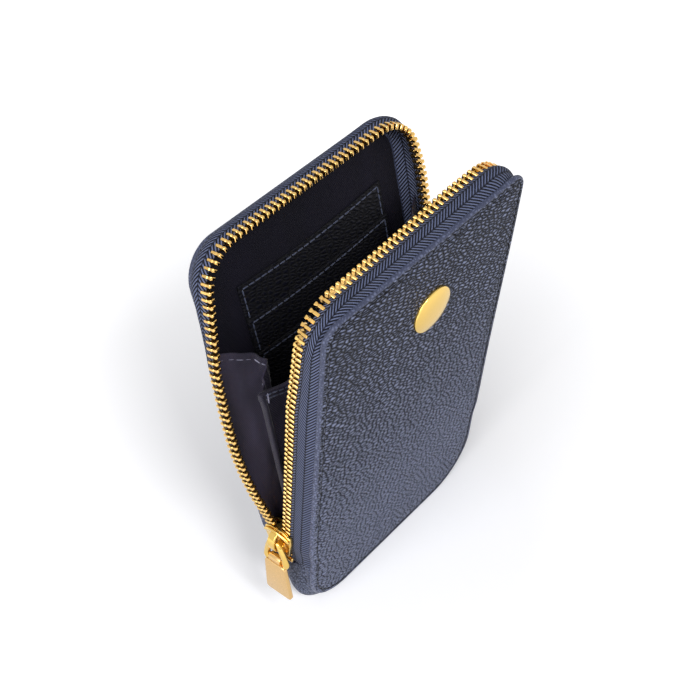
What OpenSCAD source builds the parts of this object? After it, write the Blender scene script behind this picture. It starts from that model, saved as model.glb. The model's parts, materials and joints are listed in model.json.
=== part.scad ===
// Zip-around phone pouch in pebbled leather, standing open in a V on its base.
// +X is the right-hand side seen from the front, the front cover faces -Y and +Z is up.
// The origin is the centre of the base's bottom face. All lengths are in millimetres.
// A cover's own frame has x across, v up along the cover from the floor, and depth
// measured inward from its outer face.

/* [Pouch] */
// Width of a cover over its turned side edges
cover_w = 100; // [90:1:115]
// Height of a cover along its own plane, from the floor to its top edge
cover_h = 163.5; // [150:0.5:180]
// Depth over both covers when the zip is closed
closed_depth = 23.8; // [22.5:0.1:26]
// Depth over both covers at the floor
base_depth = 12.6; // [11:0.1:14]
// Lean of each cover from upright while the pouch stands open, in degrees
lean = 8.8; // [7.8:0.1:10]
// Radius of the top corners of a cover
top_r = 15; // [10:0.5:20]
// Radius of the bottom corners of a cover
bottom_r = 22; // [16:0.5:26]
// Height on a cover at which its side edges step in
step_v = 60; // [50:1:80]
// How far each side edge steps in below that height
step_in = 1.3; // [0.5:0.1:2]

/* [Leather, boards and lining] */
// Thickness of the cover leather
leather_t = 1.2; // [1:0.1:1.6]
// Thickness of the stiffening boards
board_t = 0.8; // [0.6:0.1:1.2]
// Thickness of the lining cloth
lining_t = 0.5; // [0.4:0.1:0.8]
// Thickness of the leather base gusset
gusset_t = 1.2; // [1:0.1:1.6]
// How far the base gusset stands out past the side edges of the covers
gusset_out = 0.6; // [0.3:0.1:1]
// Height of the leather ends of the base gusset above the floor
gusset_end_z = 31; // [28:0.5:33]
// Width of the turned-in rim of the cover leather
rim_w = 1.2; // [1:0.1:2]
// How far the lining stays inside the edge of a cover
lining_inset = 2; // [1.6:0.1:3]

/* [Zip] */
// Distance between neighbouring teeth on one side of the zip
tooth_pitch = 2.54; // [2.4:0.02:2.8]
// Thickness of one tooth along the zip
tooth_t = 1.05; // [0.8:0.05:1.15]
// Height of one tooth through the tape
tooth_h = 2.6; // [2.2:0.1:3]
// Length of one tooth across the zip
tooth_len = 4.2; // [3.8:0.1:4.6]
// How far a tooth reaches past the middle of the closed zip
tooth_over = 1.1; // [0.9:0.05:1.3]
// How far the zip runs outside the edge of the covers
chain_out = 1.2; // [0.8:0.1:1.6]
// Thickness of the zip tape
tape_t = 0.8; // [0.6:0.1:1]
// How far the outer edge of the tape stands off the cover's edge
tape_out = 0.3; // [0.2:0.1:0.5]
// Length of a zip end stop along the zip
stop_len = 1.8; // [1.4:0.1:2.4]
// Half width of a zip end stop
stop_half = 2.6; // [2:0.1:3]

/* [Slider and pull] */
// Length of the slider along the zip
slider_len = 12.5; // [11:0.1:14]
// Width of the slider over its shoulders
slider_w = 12.2; // [11:0.1:13]
// Width of the slider at its tail
slider_tail_w = 8.8; // [8:0.1:10]
// Width of the slider at its nose
slider_nose_w = 6.4; // [5:0.1:8]
// Thickness of each slider plate
slider_plate = 1.1; // [0.9:0.1:1.4]
// Height of the slider's middle above the fold line of the covers
slider_rise = 8.8; // [8:0.1:10]
// Width of the bridge that holds the link
bridge_w = 3.6; // [3:0.1:4.5]
// Diameter of the round bars of the link
link_bar = 1.7; // [1.4:0.1:2]
// Diameter of the legs of the link
link_leg = 1.9; // [1.6:0.1:2.2]
// Width of the link between the middles of its legs
link_w = 9.4; // [8.6:0.1:10.5]
// Length of the link between the middles of its bars
link_len = 9.2; // [8:0.1:11]
// Width of the pull tab
pull_w = 11.6; // [10:0.1:13]
// Length of the pull tab from the middle of the link's bar
pull_len = 19.5; // [16:0.5:21]
// Thickness of the pull tab
pull_t = 1.6; // [1.2:0.1:2]
// Corner radius of the pull tab
pull_r = 1.6; // [1:0.1:3]

/* [Inside] */
// Drop from a cover's height to the top of the centre divider
divider_drop = 44.5; // [38:0.5:60]
// Thickness of the centre divider
divider_t = 1.2; // [1:0.1:1.6]
// Height of the hem that binds the divider's top edge
hem_h = 3.4; // [2.5:0.1:5]
// Thickness of the hem cloth on each face of the divider
hem_t = 0.4; // [0.3:0.1:0.6]
// How far the side gussets fold inward at their top
fold_in = 8; // [5:0.5:12]
// Width of the card slots
slots_w = 72; // [62:1:78]
// Sideways place of the middle of the card slots
slots_x = 2.5; // [0:0.5:5]
// Distance from the top edge of the back cover down to the top card slot's edge
slots_drop = 22.5; // [18:0.5:32]
// Step down from each card slot's edge to the next
slot_step = 13.8; // [10:0.2:16]
// Height on the back cover of the foot of the card slots
slots_foot_v = 62; // [56:1:76]
// Thickness of the leather of one card slot
slot_t = 0.8; // [0.6:0.1:1]

/* [Front stud] */
// Diameter of the domed metal stud
stud_d = 18; // [12:0.5:20]
// How far the stud's crown stands out of the leather
stud_rise = 2.2; // [1.5:0.1:3]
// Height of the stud's straight rim
stud_rim = 0.7; // [0.4:0.1:1]
// Sideways place of the stud
stud_x = 4.5; // [0:0.5:10]
// Distance from the top edge of the front cover down to the middle of the stud
stud_drop = 30.9; // [24:0.1:42]
// Diameter of the stud's post
post_d = 2; // [1.6:0.1:3]
// Diameter of the washer behind the stud
washer_d = 8.4; // [7:0.1:10]

/* [Hidden] */
$fn = 48;

// Clearance between the two sides of a fold or of a moving pair
fold_gap = 0.3;
// Clearance between soft pieces that lie beside each other
soft_gap = 0.15;
// Overrun of every cut
over = 1;
// Clearance round a bar that turns in a bore
pin_gap = 0.1;
// Steps in each rounded corner of an outline
corner_steps = 12;

base_half = base_depth / 2;
closed_half = closed_depth / 2;
// Height on a cover, and above the floor, of the line at which the covers fold
fold_v = (closed_half - base_half) / sin(lean);
fold_z = fold_v * cos(lean);
cover_t = leather_t + board_t;
// Depth of the nearest and farthest end of a tooth on its cover
tooth_near = closed_half + tooth_over - tooth_len;
foot_w = cover_w - 2 * step_in;
chain_x = cover_w / 2 + chain_out;
chain_r = top_r + chain_out;
slider_z = fold_z + slider_rise;
divider_z = cover_h - divider_drop;
slots_top_v = cover_h - slots_drop;
stud_v = cover_h - stud_drop;

// Slider section through its thickness
channel_half = tooth_h / 2 + soft_gap;
// Half width of the slot that the tape comes out through
slot_half = 0.9;
// Thickness of the slider's side flanges
flange_w = 0.9;
// Shares of the slider's length at which it is widest
shoulder_share = 0.62;
cheek_share = 0.85;
// Half width and length of the post that parts the two rows of teeth
post_half = 1.2;
nose_post_len = 3.2;

// Link and pull places
bridge_bore = link_bar / 2 + pin_gap;
bridge_wall = 1.1;
bridge_r = bridge_bore + bridge_wall;
pivot_x = -(chain_x + channel_half + slider_plate + bridge_r);
// Share of the slider's length that the bridge sits above its middle
pivot_share = 0.08;
pivot_z = slider_z + slider_len * pivot_share;
knuckle_bore = link_bar / 2 + pin_gap;
// Play on each side between the knuckle and the link's legs
knuckle_play = 0.6;
knuckle_r = knuckle_bore + pull_t / 2;
knuckle_w = link_w - link_leg - 2 * knuckle_play;
tab_z = pivot_z - link_len;

// Points of a quarter turn round a corner
function corner(cx, cy, r, a) =
    [for (i = [0:corner_steps]) let (t = a + 90 * i / corner_steps) [cx + r * cos(t), cy + r * sin(t)]];

// Outline of a panel between two heights, with round or square corners at each end
function panel(w, v0, v1, r0, r1) = concat(
    r1 > 0 ? corner(w / 2 - r1, v1 - r1, r1, 0) : [[w / 2, v1]],
    r1 > 0 ? corner(r1 - w / 2, v1 - r1, r1, 90) : [[-w / 2, v1]],
    r0 > 0 ? corner(r0 - w / 2, v0 + r0, r0, 180) : [[-w / 2, v0]],
    r0 > 0 ? corner(w / 2 - r0, v0 + r0, r0, 270) : [[w / 2, v0]]);

// Outline of a cover above the fold, set in from its edge all round
function cover_points(inset) = concat(
    corner(cover_w / 2 - top_r, cover_h - top_r, top_r - inset, 0),
    corner(top_r - cover_w / 2, cover_h - top_r, top_r - inset, 90),
    [[inset - cover_w / 2, step_v], [inset - foot_w / 2, step_v],
     [inset - foot_w / 2, fold_v + fold_gap], [foot_w / 2 - inset, fold_v + fold_gap],
     [foot_w / 2 - inset, step_v], [cover_w / 2 - inset, step_v]]);

// Distance from the middle plane to a given depth of a cover, at a height above the floor
function wall_y(z, depth) = base_half + z * tan(lean) - depth / cos(lean);

module on_front() translate([0, -base_half, 0]) rotate([90 + lean, 0, 0]) children();
module on_back() mirror([0, 1, 0]) on_front() children();

// Plate of a cover between two depths
module plate(points, depth, t) translate([0, 0, -depth - t]) linear_extrude(t) polygon(points);

// Prism along X whose section is given as [y, z] points
module along_x(points, half) rotate([90, 0, 90]) linear_extrude(2 * half, center = true) polygon(points);

// Prism along Y whose section is given as [x, z] points
module along_y(points, half) rotate([90, 0, 0]) linear_extrude(2 * half, center = true) polygon(points);

// The space between the covers at one depth, from one height to another
module wedge(depth, z0, z1, half) along_x([
    [-wall_y(z0, depth), z0], [wall_y(z0, depth), z0],
    [wall_y(z1, depth), z1], [-wall_y(z1, depth), z1]], half);

// Cover shell: leather with its turned rim, then the board that lies in it
module cover_leather() color("#1c2136") difference() {
    plate(cover_points(0), 0, cover_t);
    plate(cover_points(rim_w), leather_t, board_t + over);
}

module cover_board() color("#6b4f36") plate(cover_points(rim_w + soft_gap), leather_t, board_t);

module cover_lining() color("#15131a") plate(cover_points(lining_inset), cover_t, lining_t);

module foot_leather() color("#1c2136")
    plate(panel(foot_w, 0, fold_v - fold_gap, bottom_r, 0), 0, leather_t);

// Profile of the tape as [outward offset from the cover's edge, depth] points
tape_profile = [
    [tape_out - tape_t, cover_t], [tape_out, cover_t],
    [chain_out + tape_t / 2, tooth_near], [chain_out - tape_t / 2, tooth_near]];

module side_tape(side, v0, v1) translate([0, v1, 0]) rotate([90, 0, 0]) linear_extrude(v1 - v0)
    polygon([for (p = tape_profile) [side * (cover_w / 2 + p[0]), -p[1]]]);

module corner_tape(side) translate([side * (cover_w / 2 - top_r), cover_h - top_r, 0])
    rotate([0, 0, side > 0 ? 0 : 90]) rotate_extrude(angle = 90)
    polygon([for (p = tape_profile) [top_r + p[0], -p[1]]]);

module head_tape() rotate([90, 0, 90]) linear_extrude(cover_w - 2 * top_r, center = true)
    polygon([for (p = tape_profile) [cover_h + p[0], -p[1]]]);

// The part of the tape that flexes towards the slider, up the left side
// Its foot stays clear of the base as the cover swings shut
tape_foot_v = fold_v + tooth_near * tan(lean) + fold_gap;
module left_tape() color("#1f2640") side_tape(-1, tape_foot_v, cover_h - top_r - fold_gap);

// The rest of the tape, across the top and down the right side
module top_tape() color("#1f2640") {
    corner_tape(-1);
    head_tape();
    corner_tape(1);
    side_tape(1, tape_foot_v, cover_h - top_r);
}

// Lengths of the zip's straight side, round corner and straight top
run_side = cover_h - top_r - fold_v;
run_corner = chain_r * PI / 2;
run_top = cover_w - 2 * top_r;
run_all = 2 * run_side + 2 * run_corner + run_top;

// Place of a tooth after a length of zip from the left fold, as [x, v, turn]
function zip_at(s) =
    s < run_side ? [-chain_x, fold_v + s, 90]
    : s < run_side + run_corner ? let (a = 180 - (s - run_side) / chain_r * 180 / PI)
        [top_r - cover_w / 2 + chain_r * cos(a), cover_h - top_r + chain_r * sin(a), a - 90]
    : s < run_side + run_corner + run_top
        ? [top_r - cover_w / 2 + s - run_side - run_corner, cover_h + chain_out, 0]
    : s < run_side + 2 * run_corner + run_top
        ? let (a = 90 - (s - run_side - run_corner - run_top) / chain_r * 180 / PI)
        [cover_w / 2 - top_r + chain_r * cos(a), cover_h - top_r + chain_r * sin(a), a - 90]
    : [chain_x, fold_v + run_all - s, 90];

module tooth() translate([-tooth_t / 2, -tooth_h / 2, -tooth_near - tooth_len])
    cube([tooth_t, tooth_h, tooth_len]);

// Teeth from one length of zip to another; the two covers' teeth lie half a pitch apart
module teeth(from, to, phase) color("#c79a4a") for (i = [0:floor(run_all / tooth_pitch)]) {
    s = (i + phase) * tooth_pitch;
    if (s > from && s < to) translate([zip_at(s)[0], zip_at(s)[1], 0]) rotate([0, 0, zip_at(s)[2]]) tooth();
}

front_phase = 0.25;
back_phase = 0.75;
slider_top_run = (slider_z + slider_len / 2 + fold_gap) / cos(lean) - fold_v + tooth_t;
module left_teeth(phase) teeth(slider_top_run, run_side, phase);
last_tooth_run = run_all - (tooth_near + tooth_len) * tan(lean) - tooth_t;
module top_teeth(phase) teeth(run_side, last_tooth_run, phase);

// Base: leather gusset, board and lining between the feet of the covers
gusset_w = cover_w + 2 * gusset_out;
module base_gusset() color("#1c2136") intersection() {
    wedge(leather_t, 0, gusset_end_z, cover_w);
    difference() {
        along_y(panel(gusset_w, 0, gusset_end_z, bottom_r, 0), closed_depth);
        along_y(panel(gusset_w - 2 * gusset_t, gusset_t, gusset_end_z + over, bottom_r - gusset_t, 0),
            closed_depth + over);
    }
}

board_z = gusset_t + board_t;
module base_board() color("#6b4f36")
    wedge(leather_t + soft_gap, gusset_t, board_z, cover_w / 2 - bottom_r);

inner_w = gusset_w - 2 * gusset_t - 2 * soft_gap;
inner_r = bottom_r - gusset_t - soft_gap;
module base_lining() color("#15131a") intersection() {
    along_y(panel(inner_w, board_z, fold_z - fold_gap, inner_r - board_t, 0), closed_depth);
    difference() {
        wedge(leather_t, board_z, fold_z - fold_gap, cover_w);
        wedge(leather_t + lining_t, board_z + lining_t, fold_z, cover_w + over);
    }
}

// Centre divider with its bound top edge
divider_w = 2 * (chain_x - channel_half - slider_plate - fold_gap);
module centre_divider() color("#2b2733") along_y(
    panel(divider_w, board_z + lining_t, divider_z - hem_t, inner_r - board_t, 0), divider_t / 2);

module divider_hem() color("#4a4554") difference() {
    along_y(panel(divider_w, divider_z - hem_h, divider_z, 0, 0), divider_t / 2 + hem_t);
    along_y(panel(divider_w + over, divider_z - hem_h - over, divider_z - hem_t, 0, 0), divider_t / 2);
}

// Side gusset of the back compartment: a cloth sheet folded inward between divider and back cover
sheet_foot_z = board_z + lining_t + inner_r;
sheet_near = divider_t / 2 + hem_t + soft_gap;
sheet_x = divider_w / 2 - soft_gap;
// Share of the top's fold that is left at the foot of the sheet
foot_fold_share = 0.25;
sheet_foot_in = fold_in * foot_fold_share;
function sheet_ring(z, inward) = let (far = wall_y(z, cover_t + lining_t + soft_gap))
    [[sheet_x, sheet_near, z], [sheet_x - inward, (sheet_near + far) / 2, z], [sheet_x - lining_t, far, z],
     [sheet_x - 2 * lining_t, far, z], [sheet_x - inward - lining_t, (sheet_near + far) / 2, z],
     [sheet_x - lining_t, sheet_near, z]];

module side_sheet() color("#3d3947") polyhedron(
    points = concat(sheet_ring(sheet_foot_z, sheet_foot_in), sheet_ring(divider_z, fold_in)),
    faces = concat(
        [for (i = [0:5]) [i, (i + 1) % 6, 6 + i]],
        [for (i = [0:5]) [(i + 1) % 6, 6 + (i + 1) % 6, 6 + i]],
        [[0, 5, 4], [0, 4, 1], [1, 4, 3], [1, 3, 2]],
        [[6, 10, 11], [6, 7, 10], [7, 9, 10], [7, 8, 9]]));

module left_side_gusset() mirror([1, 0, 0]) side_sheet();
module right_side_gusset() side_sheet();

// The closed foot of the zip on the base, between the gusset's end and the fold
foot_tape_x = chain_x - tape_t / 2;
foot_tape_near = closed_half - tooth_near;
module foot_tape(side) color("#1f2640") intersection() {
    wedge(leather_t + lining_t + soft_gap, gusset_end_z, fold_z - fold_gap, cover_w);
    for (flip = [-1, 1]) translate([side * (foot_tape_x + tape_t / 2) - tape_t / 2,
        flip > 0 ? foot_tape_near : -closed_half, gusset_end_z])
        cube([tape_t, closed_half - foot_tape_near, fold_z]);
}

foot_teeth_z = gusset_end_z + stop_len + soft_gap;
module foot_teeth(side, top) color("#c79a4a")
    for (i = [0:floor((top - foot_teeth_z) / (tooth_pitch / 2)) - 1])
        translate([side * chain_x - tooth_h / 2,
            i % 2 == 0 ? -foot_tape_near : foot_tape_near - tooth_len, foot_teeth_z + i * tooth_pitch / 2])
            cube([tooth_h, tooth_len, tooth_t]);

module end_stop(side) color("#c79a4a")
    translate([side * chain_x - tooth_h / 2, -stop_half, gusset_end_z]) cube([tooth_h, 2 * stop_half, stop_len]);

// Slider: two plates with side flanges and a nose post, over the teeth
function slider_points(cut) =
    let (low = cut > 0 ? -over : 0, high = slider_len + (cut > 0 ? over : 0))
    [[cut - slider_tail_w / 2, low], [slider_tail_w / 2 - cut, low],
     [slider_w / 2 - cut, slider_len * shoulder_share], [slider_w / 2 - cut, slider_len * cheek_share],
     [cut > 0 ? slider_w / 2 - cut : slider_nose_w / 2, high],
     [cut > 0 ? cut - slider_w / 2 : -slider_nose_w / 2, high],
     [cut - slider_w / 2, slider_len * cheek_share], [cut - slider_w / 2, slider_len * shoulder_share]];

module slider_body() color("#d3ab64") translate([-chain_x, 0, slider_z - slider_len / 2]) {
    difference() {
        along_x(slider_points(0), channel_half + slider_plate);
        along_x(slider_points(flange_w), channel_half);
        translate([-slot_half, -slider_w, -over]) cube([2 * slot_half, 2 * slider_w, slider_len + 2 * over]);
    }
    translate([-channel_half - over / 2, -post_half, slider_len - nose_post_len])
        cube([2 * channel_half + over, 2 * post_half, nose_post_len]);
}

// Bridge: a ring on the slider's outer plate that the link's top bar turns in
module slider_bridge() color("#d3ab64") difference() {
    union() {
        translate([pivot_x, 0, pivot_z]) rotate([90, 0, 0])
            cylinder(r = bridge_r, h = bridge_w, center = true);
        translate([pivot_x, -bridge_w / 2, pivot_z - bridge_r]) cube([bridge_r, bridge_w, 2 * bridge_r]);
    }
    translate([pivot_x, 0, pivot_z]) rotate([90, 0, 0])
        cylinder(r = bridge_bore, h = bridge_w + 2 * over, center = true);
}

module bar_y(z, half, r) translate([pivot_x, 0, z]) rotate([90, 0, 0])
    cylinder(r = r, h = 2 * half, center = true);

module pull_link() color("#d3ab64") {
    bar_y(pivot_z, link_w / 2, link_bar / 2);
    bar_y(tab_z, link_w / 2, link_bar / 2);
    for (side = [-1, 1]) {
        translate([pivot_x, side * link_w / 2, tab_z]) cylinder(d = link_leg, h = link_len);
        for (z = [tab_z, pivot_z]) translate([pivot_x, side * link_w / 2, z]) sphere(d = link_leg);
    }
}

// Pull tab: a flat plate whose top is rolled into a knuckle round the link's lower bar
tab_top = knuckle_r + soft_gap;
module pull_tab() color("#d3ab64") difference() {
    union() {
        bar_y(tab_z, knuckle_w / 2, knuckle_r);
        translate([pivot_x - pull_t / 2, -knuckle_w / 2, tab_z - tab_top - pull_t])
            cube([pull_t, knuckle_w, tab_top + pull_t]);
        translate([pivot_x, 0, tab_z]) along_x(
            panel(pull_w, -pull_len, -tab_top, pull_r, 0), pull_t / 2);
    }
    bar_y(tab_z, knuckle_w / 2 + over, knuckle_bore);
}

// Domed stud with its post, and the washer that holds it behind the leather
module stud_place() on_front() translate([stud_x, stud_v, 0]) children();
dome_r = ((stud_d / 2) ^ 2 + (stud_rise - stud_rim) ^ 2) / (2 * (stud_rise - stud_rim));
module front_stud() color("#d3ab64") stud_place() {
    cylinder(d = stud_d, h = stud_rim);
    intersection() {
        translate([0, 0, stud_rise - dome_r]) sphere(r = dome_r, $fn = 96);
        cylinder(d = stud_d, h = stud_rise);
    }
    translate([0, 0, -cover_t]) cylinder(d = post_d, h = cover_t + stud_rim);
}

module stud_washer() color("silver") stud_place() translate([0, 0, -cover_t]) difference() {
    cylinder(d = washer_d, h = board_t);
    translate([0, 0, -over]) cylinder(d = post_d + 2 * soft_gap, h = board_t + 2 * over);
}

module stud_hole(d) translate([stud_x, stud_v, -cover_t - over]) cylinder(d = d, h = cover_t + 2 * over);

module front_leather() on_front() difference() {
    cover_leather();
    stud_hole(post_d + 2 * soft_gap);
}
module front_board() on_front() difference() {
    cover_board();
    stud_hole(washer_d + 2 * soft_gap);
}

// Card slot layers, each over the one before it and one step lower
module card_slot(k) color("#1a1a24") on_back() translate([slots_x, 0, 0]) plate(
    panel(slots_w, slots_foot_v, slots_top_v - k * slot_step, 0, 0), cover_t + lining_t + k * slot_t, slot_t);

module front_foot_leather() on_front() foot_leather();
module back_foot_leather() on_back() foot_leather();
module left_foot_tape() foot_tape(-1);
module right_foot_tape() foot_tape(1);
module left_foot_teeth() foot_teeth(-1, slider_z - slider_len / 2 - fold_gap);
module right_foot_teeth() foot_teeth(1, fold_z - fold_gap);
module left_end_stop() end_stop(-1);
module right_end_stop() end_stop(1);
module front_lining() on_front() cover_lining();
module front_side_tape() on_front() left_tape();
module front_top_tape() on_front() top_tape();
module front_side_teeth() on_front() left_teeth(front_phase);
module front_top_teeth() on_front() top_teeth(front_phase);
module back_leather() on_back() cover_leather();
module back_board() on_back() cover_board();
module back_lining() on_back() cover_lining();
module card_slot_top() card_slot(0);
module card_slot_middle() card_slot(1);
module card_slot_lower() card_slot(2);
module back_side_tape() on_back() left_tape();
module back_top_tape() on_back() top_tape();
module back_side_teeth() on_back() left_teeth(back_phase);
module back_top_teeth() on_back() top_teeth(back_phase);

base_gusset();
base_board();
base_lining();
front_foot_leather();
back_foot_leather();
centre_divider();
divider_hem();
left_side_gusset();
right_side_gusset();
left_foot_tape();
right_foot_tape();
left_foot_teeth();
right_foot_teeth();
left_end_stop();
right_end_stop();
front_leather();
front_board();
front_lining();
front_side_tape();
front_top_tape();
front_side_teeth();
front_top_teeth();
front_stud();
stud_washer();
back_leather();
back_board();
back_lining();
card_slot_top();
card_slot_middle();
card_slot_lower();
back_side_tape();
back_top_tape();
back_side_teeth();
back_top_teeth();
slider_body();
slider_bridge();
pull_link();
pull_tab();
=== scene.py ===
# %% [markdown]
# # A zip-around phone pouch
# The pouch stands open in a V on its narrow base. Its construction comes as a fixed frame of
# solids, in metres, with the folding covers, the slider and the pull as moving bodies. This lesson
# dresses that frame with leather, woven tape, brass teeth, lining and stitches. The solids give
# each piece its place, and the modelling here gives it its softness, so nothing is placed by eye.

# %% Load the frame and the tools
import json
import math

import bpy
import numpy as np
from mathutils import Matrix, Vector


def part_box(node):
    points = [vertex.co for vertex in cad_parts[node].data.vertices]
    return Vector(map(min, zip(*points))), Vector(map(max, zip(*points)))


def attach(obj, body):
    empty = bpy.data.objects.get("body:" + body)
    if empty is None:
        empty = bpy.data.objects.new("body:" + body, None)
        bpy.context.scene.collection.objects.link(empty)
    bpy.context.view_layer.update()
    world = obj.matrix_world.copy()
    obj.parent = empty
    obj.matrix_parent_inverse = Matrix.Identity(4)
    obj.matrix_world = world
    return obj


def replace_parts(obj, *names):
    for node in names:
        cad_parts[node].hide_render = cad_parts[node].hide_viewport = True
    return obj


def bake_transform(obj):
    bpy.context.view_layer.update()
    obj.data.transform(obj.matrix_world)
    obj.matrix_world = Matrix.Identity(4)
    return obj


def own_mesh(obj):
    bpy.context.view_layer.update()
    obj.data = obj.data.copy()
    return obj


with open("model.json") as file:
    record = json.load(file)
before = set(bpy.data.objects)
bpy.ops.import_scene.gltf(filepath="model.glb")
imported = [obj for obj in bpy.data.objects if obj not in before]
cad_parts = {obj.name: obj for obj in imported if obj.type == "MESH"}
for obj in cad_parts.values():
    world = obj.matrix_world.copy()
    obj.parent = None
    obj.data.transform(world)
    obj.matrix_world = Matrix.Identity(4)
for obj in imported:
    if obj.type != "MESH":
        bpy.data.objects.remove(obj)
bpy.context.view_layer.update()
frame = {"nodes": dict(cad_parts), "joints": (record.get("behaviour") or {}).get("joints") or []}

MM = 0.001
bpy.ops.object.select_all(action="DESELECT")
print("solids in the frame:", len(frame["nodes"]))

# %% [markdown]
# ## Sizes that the frame gives
# Each cover is a flat panel that leans out from the base. Everything on a cover is modelled lying
# down, with x across, y up the cover and z out of its face, and is stood up with one matrix at the
# end. The lean is the range of the fold's joint, because closing the pouch takes it to upright.

# %% Sizes of the covers
joints = {joint["name"]: joint for joint in frame["joints"]}
LEAN = math.radians(joints["front_fold"]["range_deg"][1])
LEATHER, BOARD, LINING = 1.2 * MM, 0.8 * MM, 0.5 * MM
COVER_T = LEATHER + BOARD
low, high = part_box("front_leather")
COVER_W = high.x - low.x
COVER_H = (high.z - COVER_T * math.sin(LEAN)) / math.cos(LEAN)
BASE_HALF = -low.y - COVER_H * math.sin(LEAN)
FOLD_Z = joints["front_fold"]["pos_m"][2]
FOLD_V = FOLD_Z / math.cos(LEAN)
TOP_R, BOTTOM_R = 15 * MM, 22 * MM
FRONT, BACK = -1, 1
WHICH = {FRONT: "front", BACK: "back"}
ENDS = {-1: "left", 1: "right"}
print(f"cover {COVER_W / MM:.1f} x {COVER_H / MM:.1f} mm, fold at {FOLD_V / MM:.1f} mm")


def eased(t):
    t = np.clip(t, 0, 1)
    return t * t * (3 - 2 * t)


FOOT_IN, FOOT_V, FOOT_FADE = 0.03, 33 * MM, 11 * MM
LEAN_OUT, LEAN_V, LEAN_FADE = 0.04, 60 * MM, 90 * MM


def settled(points):
    """Takes in the foot of a cover, and lets its right edge lean out, as the real one does."""
    x, v = points[:, 0], points[:, 1]
    foot = 1 - eased((v - FOOT_V) / FOOT_FADE)
    right = eased((v - LEAN_V) / LEAN_FADE) * (x > 0)
    return x * (1 - FOOT_IN * foot + LEAN_OUT * right), v, points[:, 2]


def stand(points, side):
    """Points of a cover lying down, as the cover stands at rest."""
    x, v, out = settled(points)
    y = BASE_HALF + v * math.sin(LEAN) + out * math.cos(LEAN)
    z = v * math.cos(LEAN) - out * math.sin(LEAN)
    return np.stack([x, side * y, z], 1)


def wall_y(z, depth):
    """Distance from the middle plane to a given depth of a cover, at a height."""
    return BASE_HALF + z * math.tan(LEAN) - depth / math.cos(LEAN)


# %% [markdown]
# ## Helpers for modelling
# Every piece starts as a primitive and is then shaped. The helpers below pick one object, read and
# write its points, choose faces or edges by a rule, apply a modifier, and stand a finished piece up
# on its cover. A back piece is a mirror image, so its faces are turned over afterwards.

# %% Helpers for modelling
def only(obj):
    bpy.ops.object.select_all(action="DESELECT")
    obj.select_set(True)
    bpy.context.view_layer.objects.active = obj
    return obj


def points_of(obj):
    co = np.empty(len(obj.data.vertices) * 3)
    obj.data.vertices.foreach_get("co", co)
    return co.reshape(-1, 3)


def set_points(obj, co):
    obj.data.vertices.foreach_set("co", np.asarray(co, float).ravel())
    obj.data.update()
    return obj


def named(name):
    obj = bpy.context.object
    obj.name = obj.data.name = name
    bpy.ops.object.transform_apply(location=True, rotation=True, scale=True)
    return obj


def edit(obj, mode):
    only(obj)
    bpy.ops.object.mode_set(mode="EDIT")
    bpy.ops.mesh.select_mode(type=mode)
    bpy.ops.mesh.select_all(action="DESELECT")
    bpy.ops.object.mode_set(mode="OBJECT")


def pick_points(obj, rule):
    """Edit mode with the points selected that follow a rule on their place."""
    edit(obj, "VERT")
    for vertex in obj.data.vertices:
        vertex.select = bool(rule(vertex.co))
    bpy.ops.object.mode_set(mode="EDIT")


def pick_faces(obj, rule):
    """Edit mode with the faces selected that follow a rule on centre and normal."""
    edit(obj, "FACE")
    for face in obj.data.polygons:
        face.select = bool(rule(face.center, face.normal))
    bpy.ops.object.mode_set(mode="EDIT")


def leave():
    bpy.ops.object.mode_set(mode="OBJECT")


def apply(obj, kind, **settings):
    only(obj)
    modifier = obj.modifiers.new(kind.lower(), kind)
    for key, value in settings.items():
        setattr(modifier, key, value)
    bpy.ops.object.modifier_apply(modifier=modifier.name)
    return obj


def round_edges(obj, width, segments=2, sharper=0.9):
    """Rounds the edges that turn by more than an angle in radians."""
    return apply(obj, "BEVEL", width=width, segments=segments, limit_method="ANGLE",
                 angle_limit=sharper)


MERGE = 0.02 * MM


def outward(obj):
    """Merges points in the same place and turns all faces outward."""
    only(obj)
    bpy.ops.object.mode_set(mode="EDIT")
    bpy.ops.mesh.select_all(action="SELECT")
    bpy.ops.mesh.remove_doubles(threshold=MERGE)
    bpy.ops.mesh.normals_make_consistent(inside=False)
    leave()
    return obj


def smooth(obj, degrees=40):
    only(obj)
    bpy.ops.object.shade_smooth_by_angle(angle=math.radians(degrees))
    return obj


def stand_up(obj, side):
    set_points(obj, stand(points_of(obj), side))
    if side == BACK:
        obj.data.flip_normals()
    return obj


def join(name, parts):
    """Makes one piece of several, which keeps the first one's material and place."""
    only(parts[0])
    for part in parts:
        part.select_set(True)
    if len(parts) > 1:
        bpy.ops.object.join()
    parts[0].name = parts[0].data.name = name
    return parts[0]


# %% [markdown]
# ## Camera
# The camera was fitted to the teeth and edges in the photograph, taking the zip's pitch as 2.54 mm.
# It looks down on the pouch's left front corner. It could be placed by eye, but its three axes are
# worked out from measured angles instead, because the pouch's sizes were measured through it.

# %% Camera
AZIMUTH, ELEVATION, ROLL = (math.radians(a) for a in (-45.742, 43.551, -4.991))
AIM = Vector((0, 0, 80 * MM))
DISTANCE, SLIDE, RISE = 497.953 * MM, -6.748 * MM, 14.307 * MM
FOCAL_PX, FRAME_PX, SENSOR = 1358.539, 700, 36.0


def camera_axes():
    back = Vector((
        math.sin(AZIMUTH) * math.cos(ELEVATION),
        -math.cos(AZIMUTH) * math.cos(ELEVATION),
        math.sin(ELEVATION),
    ))
    right = (-back).cross(Vector((0, 0, 1))).normalized()
    up = right.cross(-back)
    turned = right * math.cos(ROLL) + up * math.sin(ROLL)
    return turned, -right * math.sin(ROLL) + up * math.cos(ROLL), back


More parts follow.
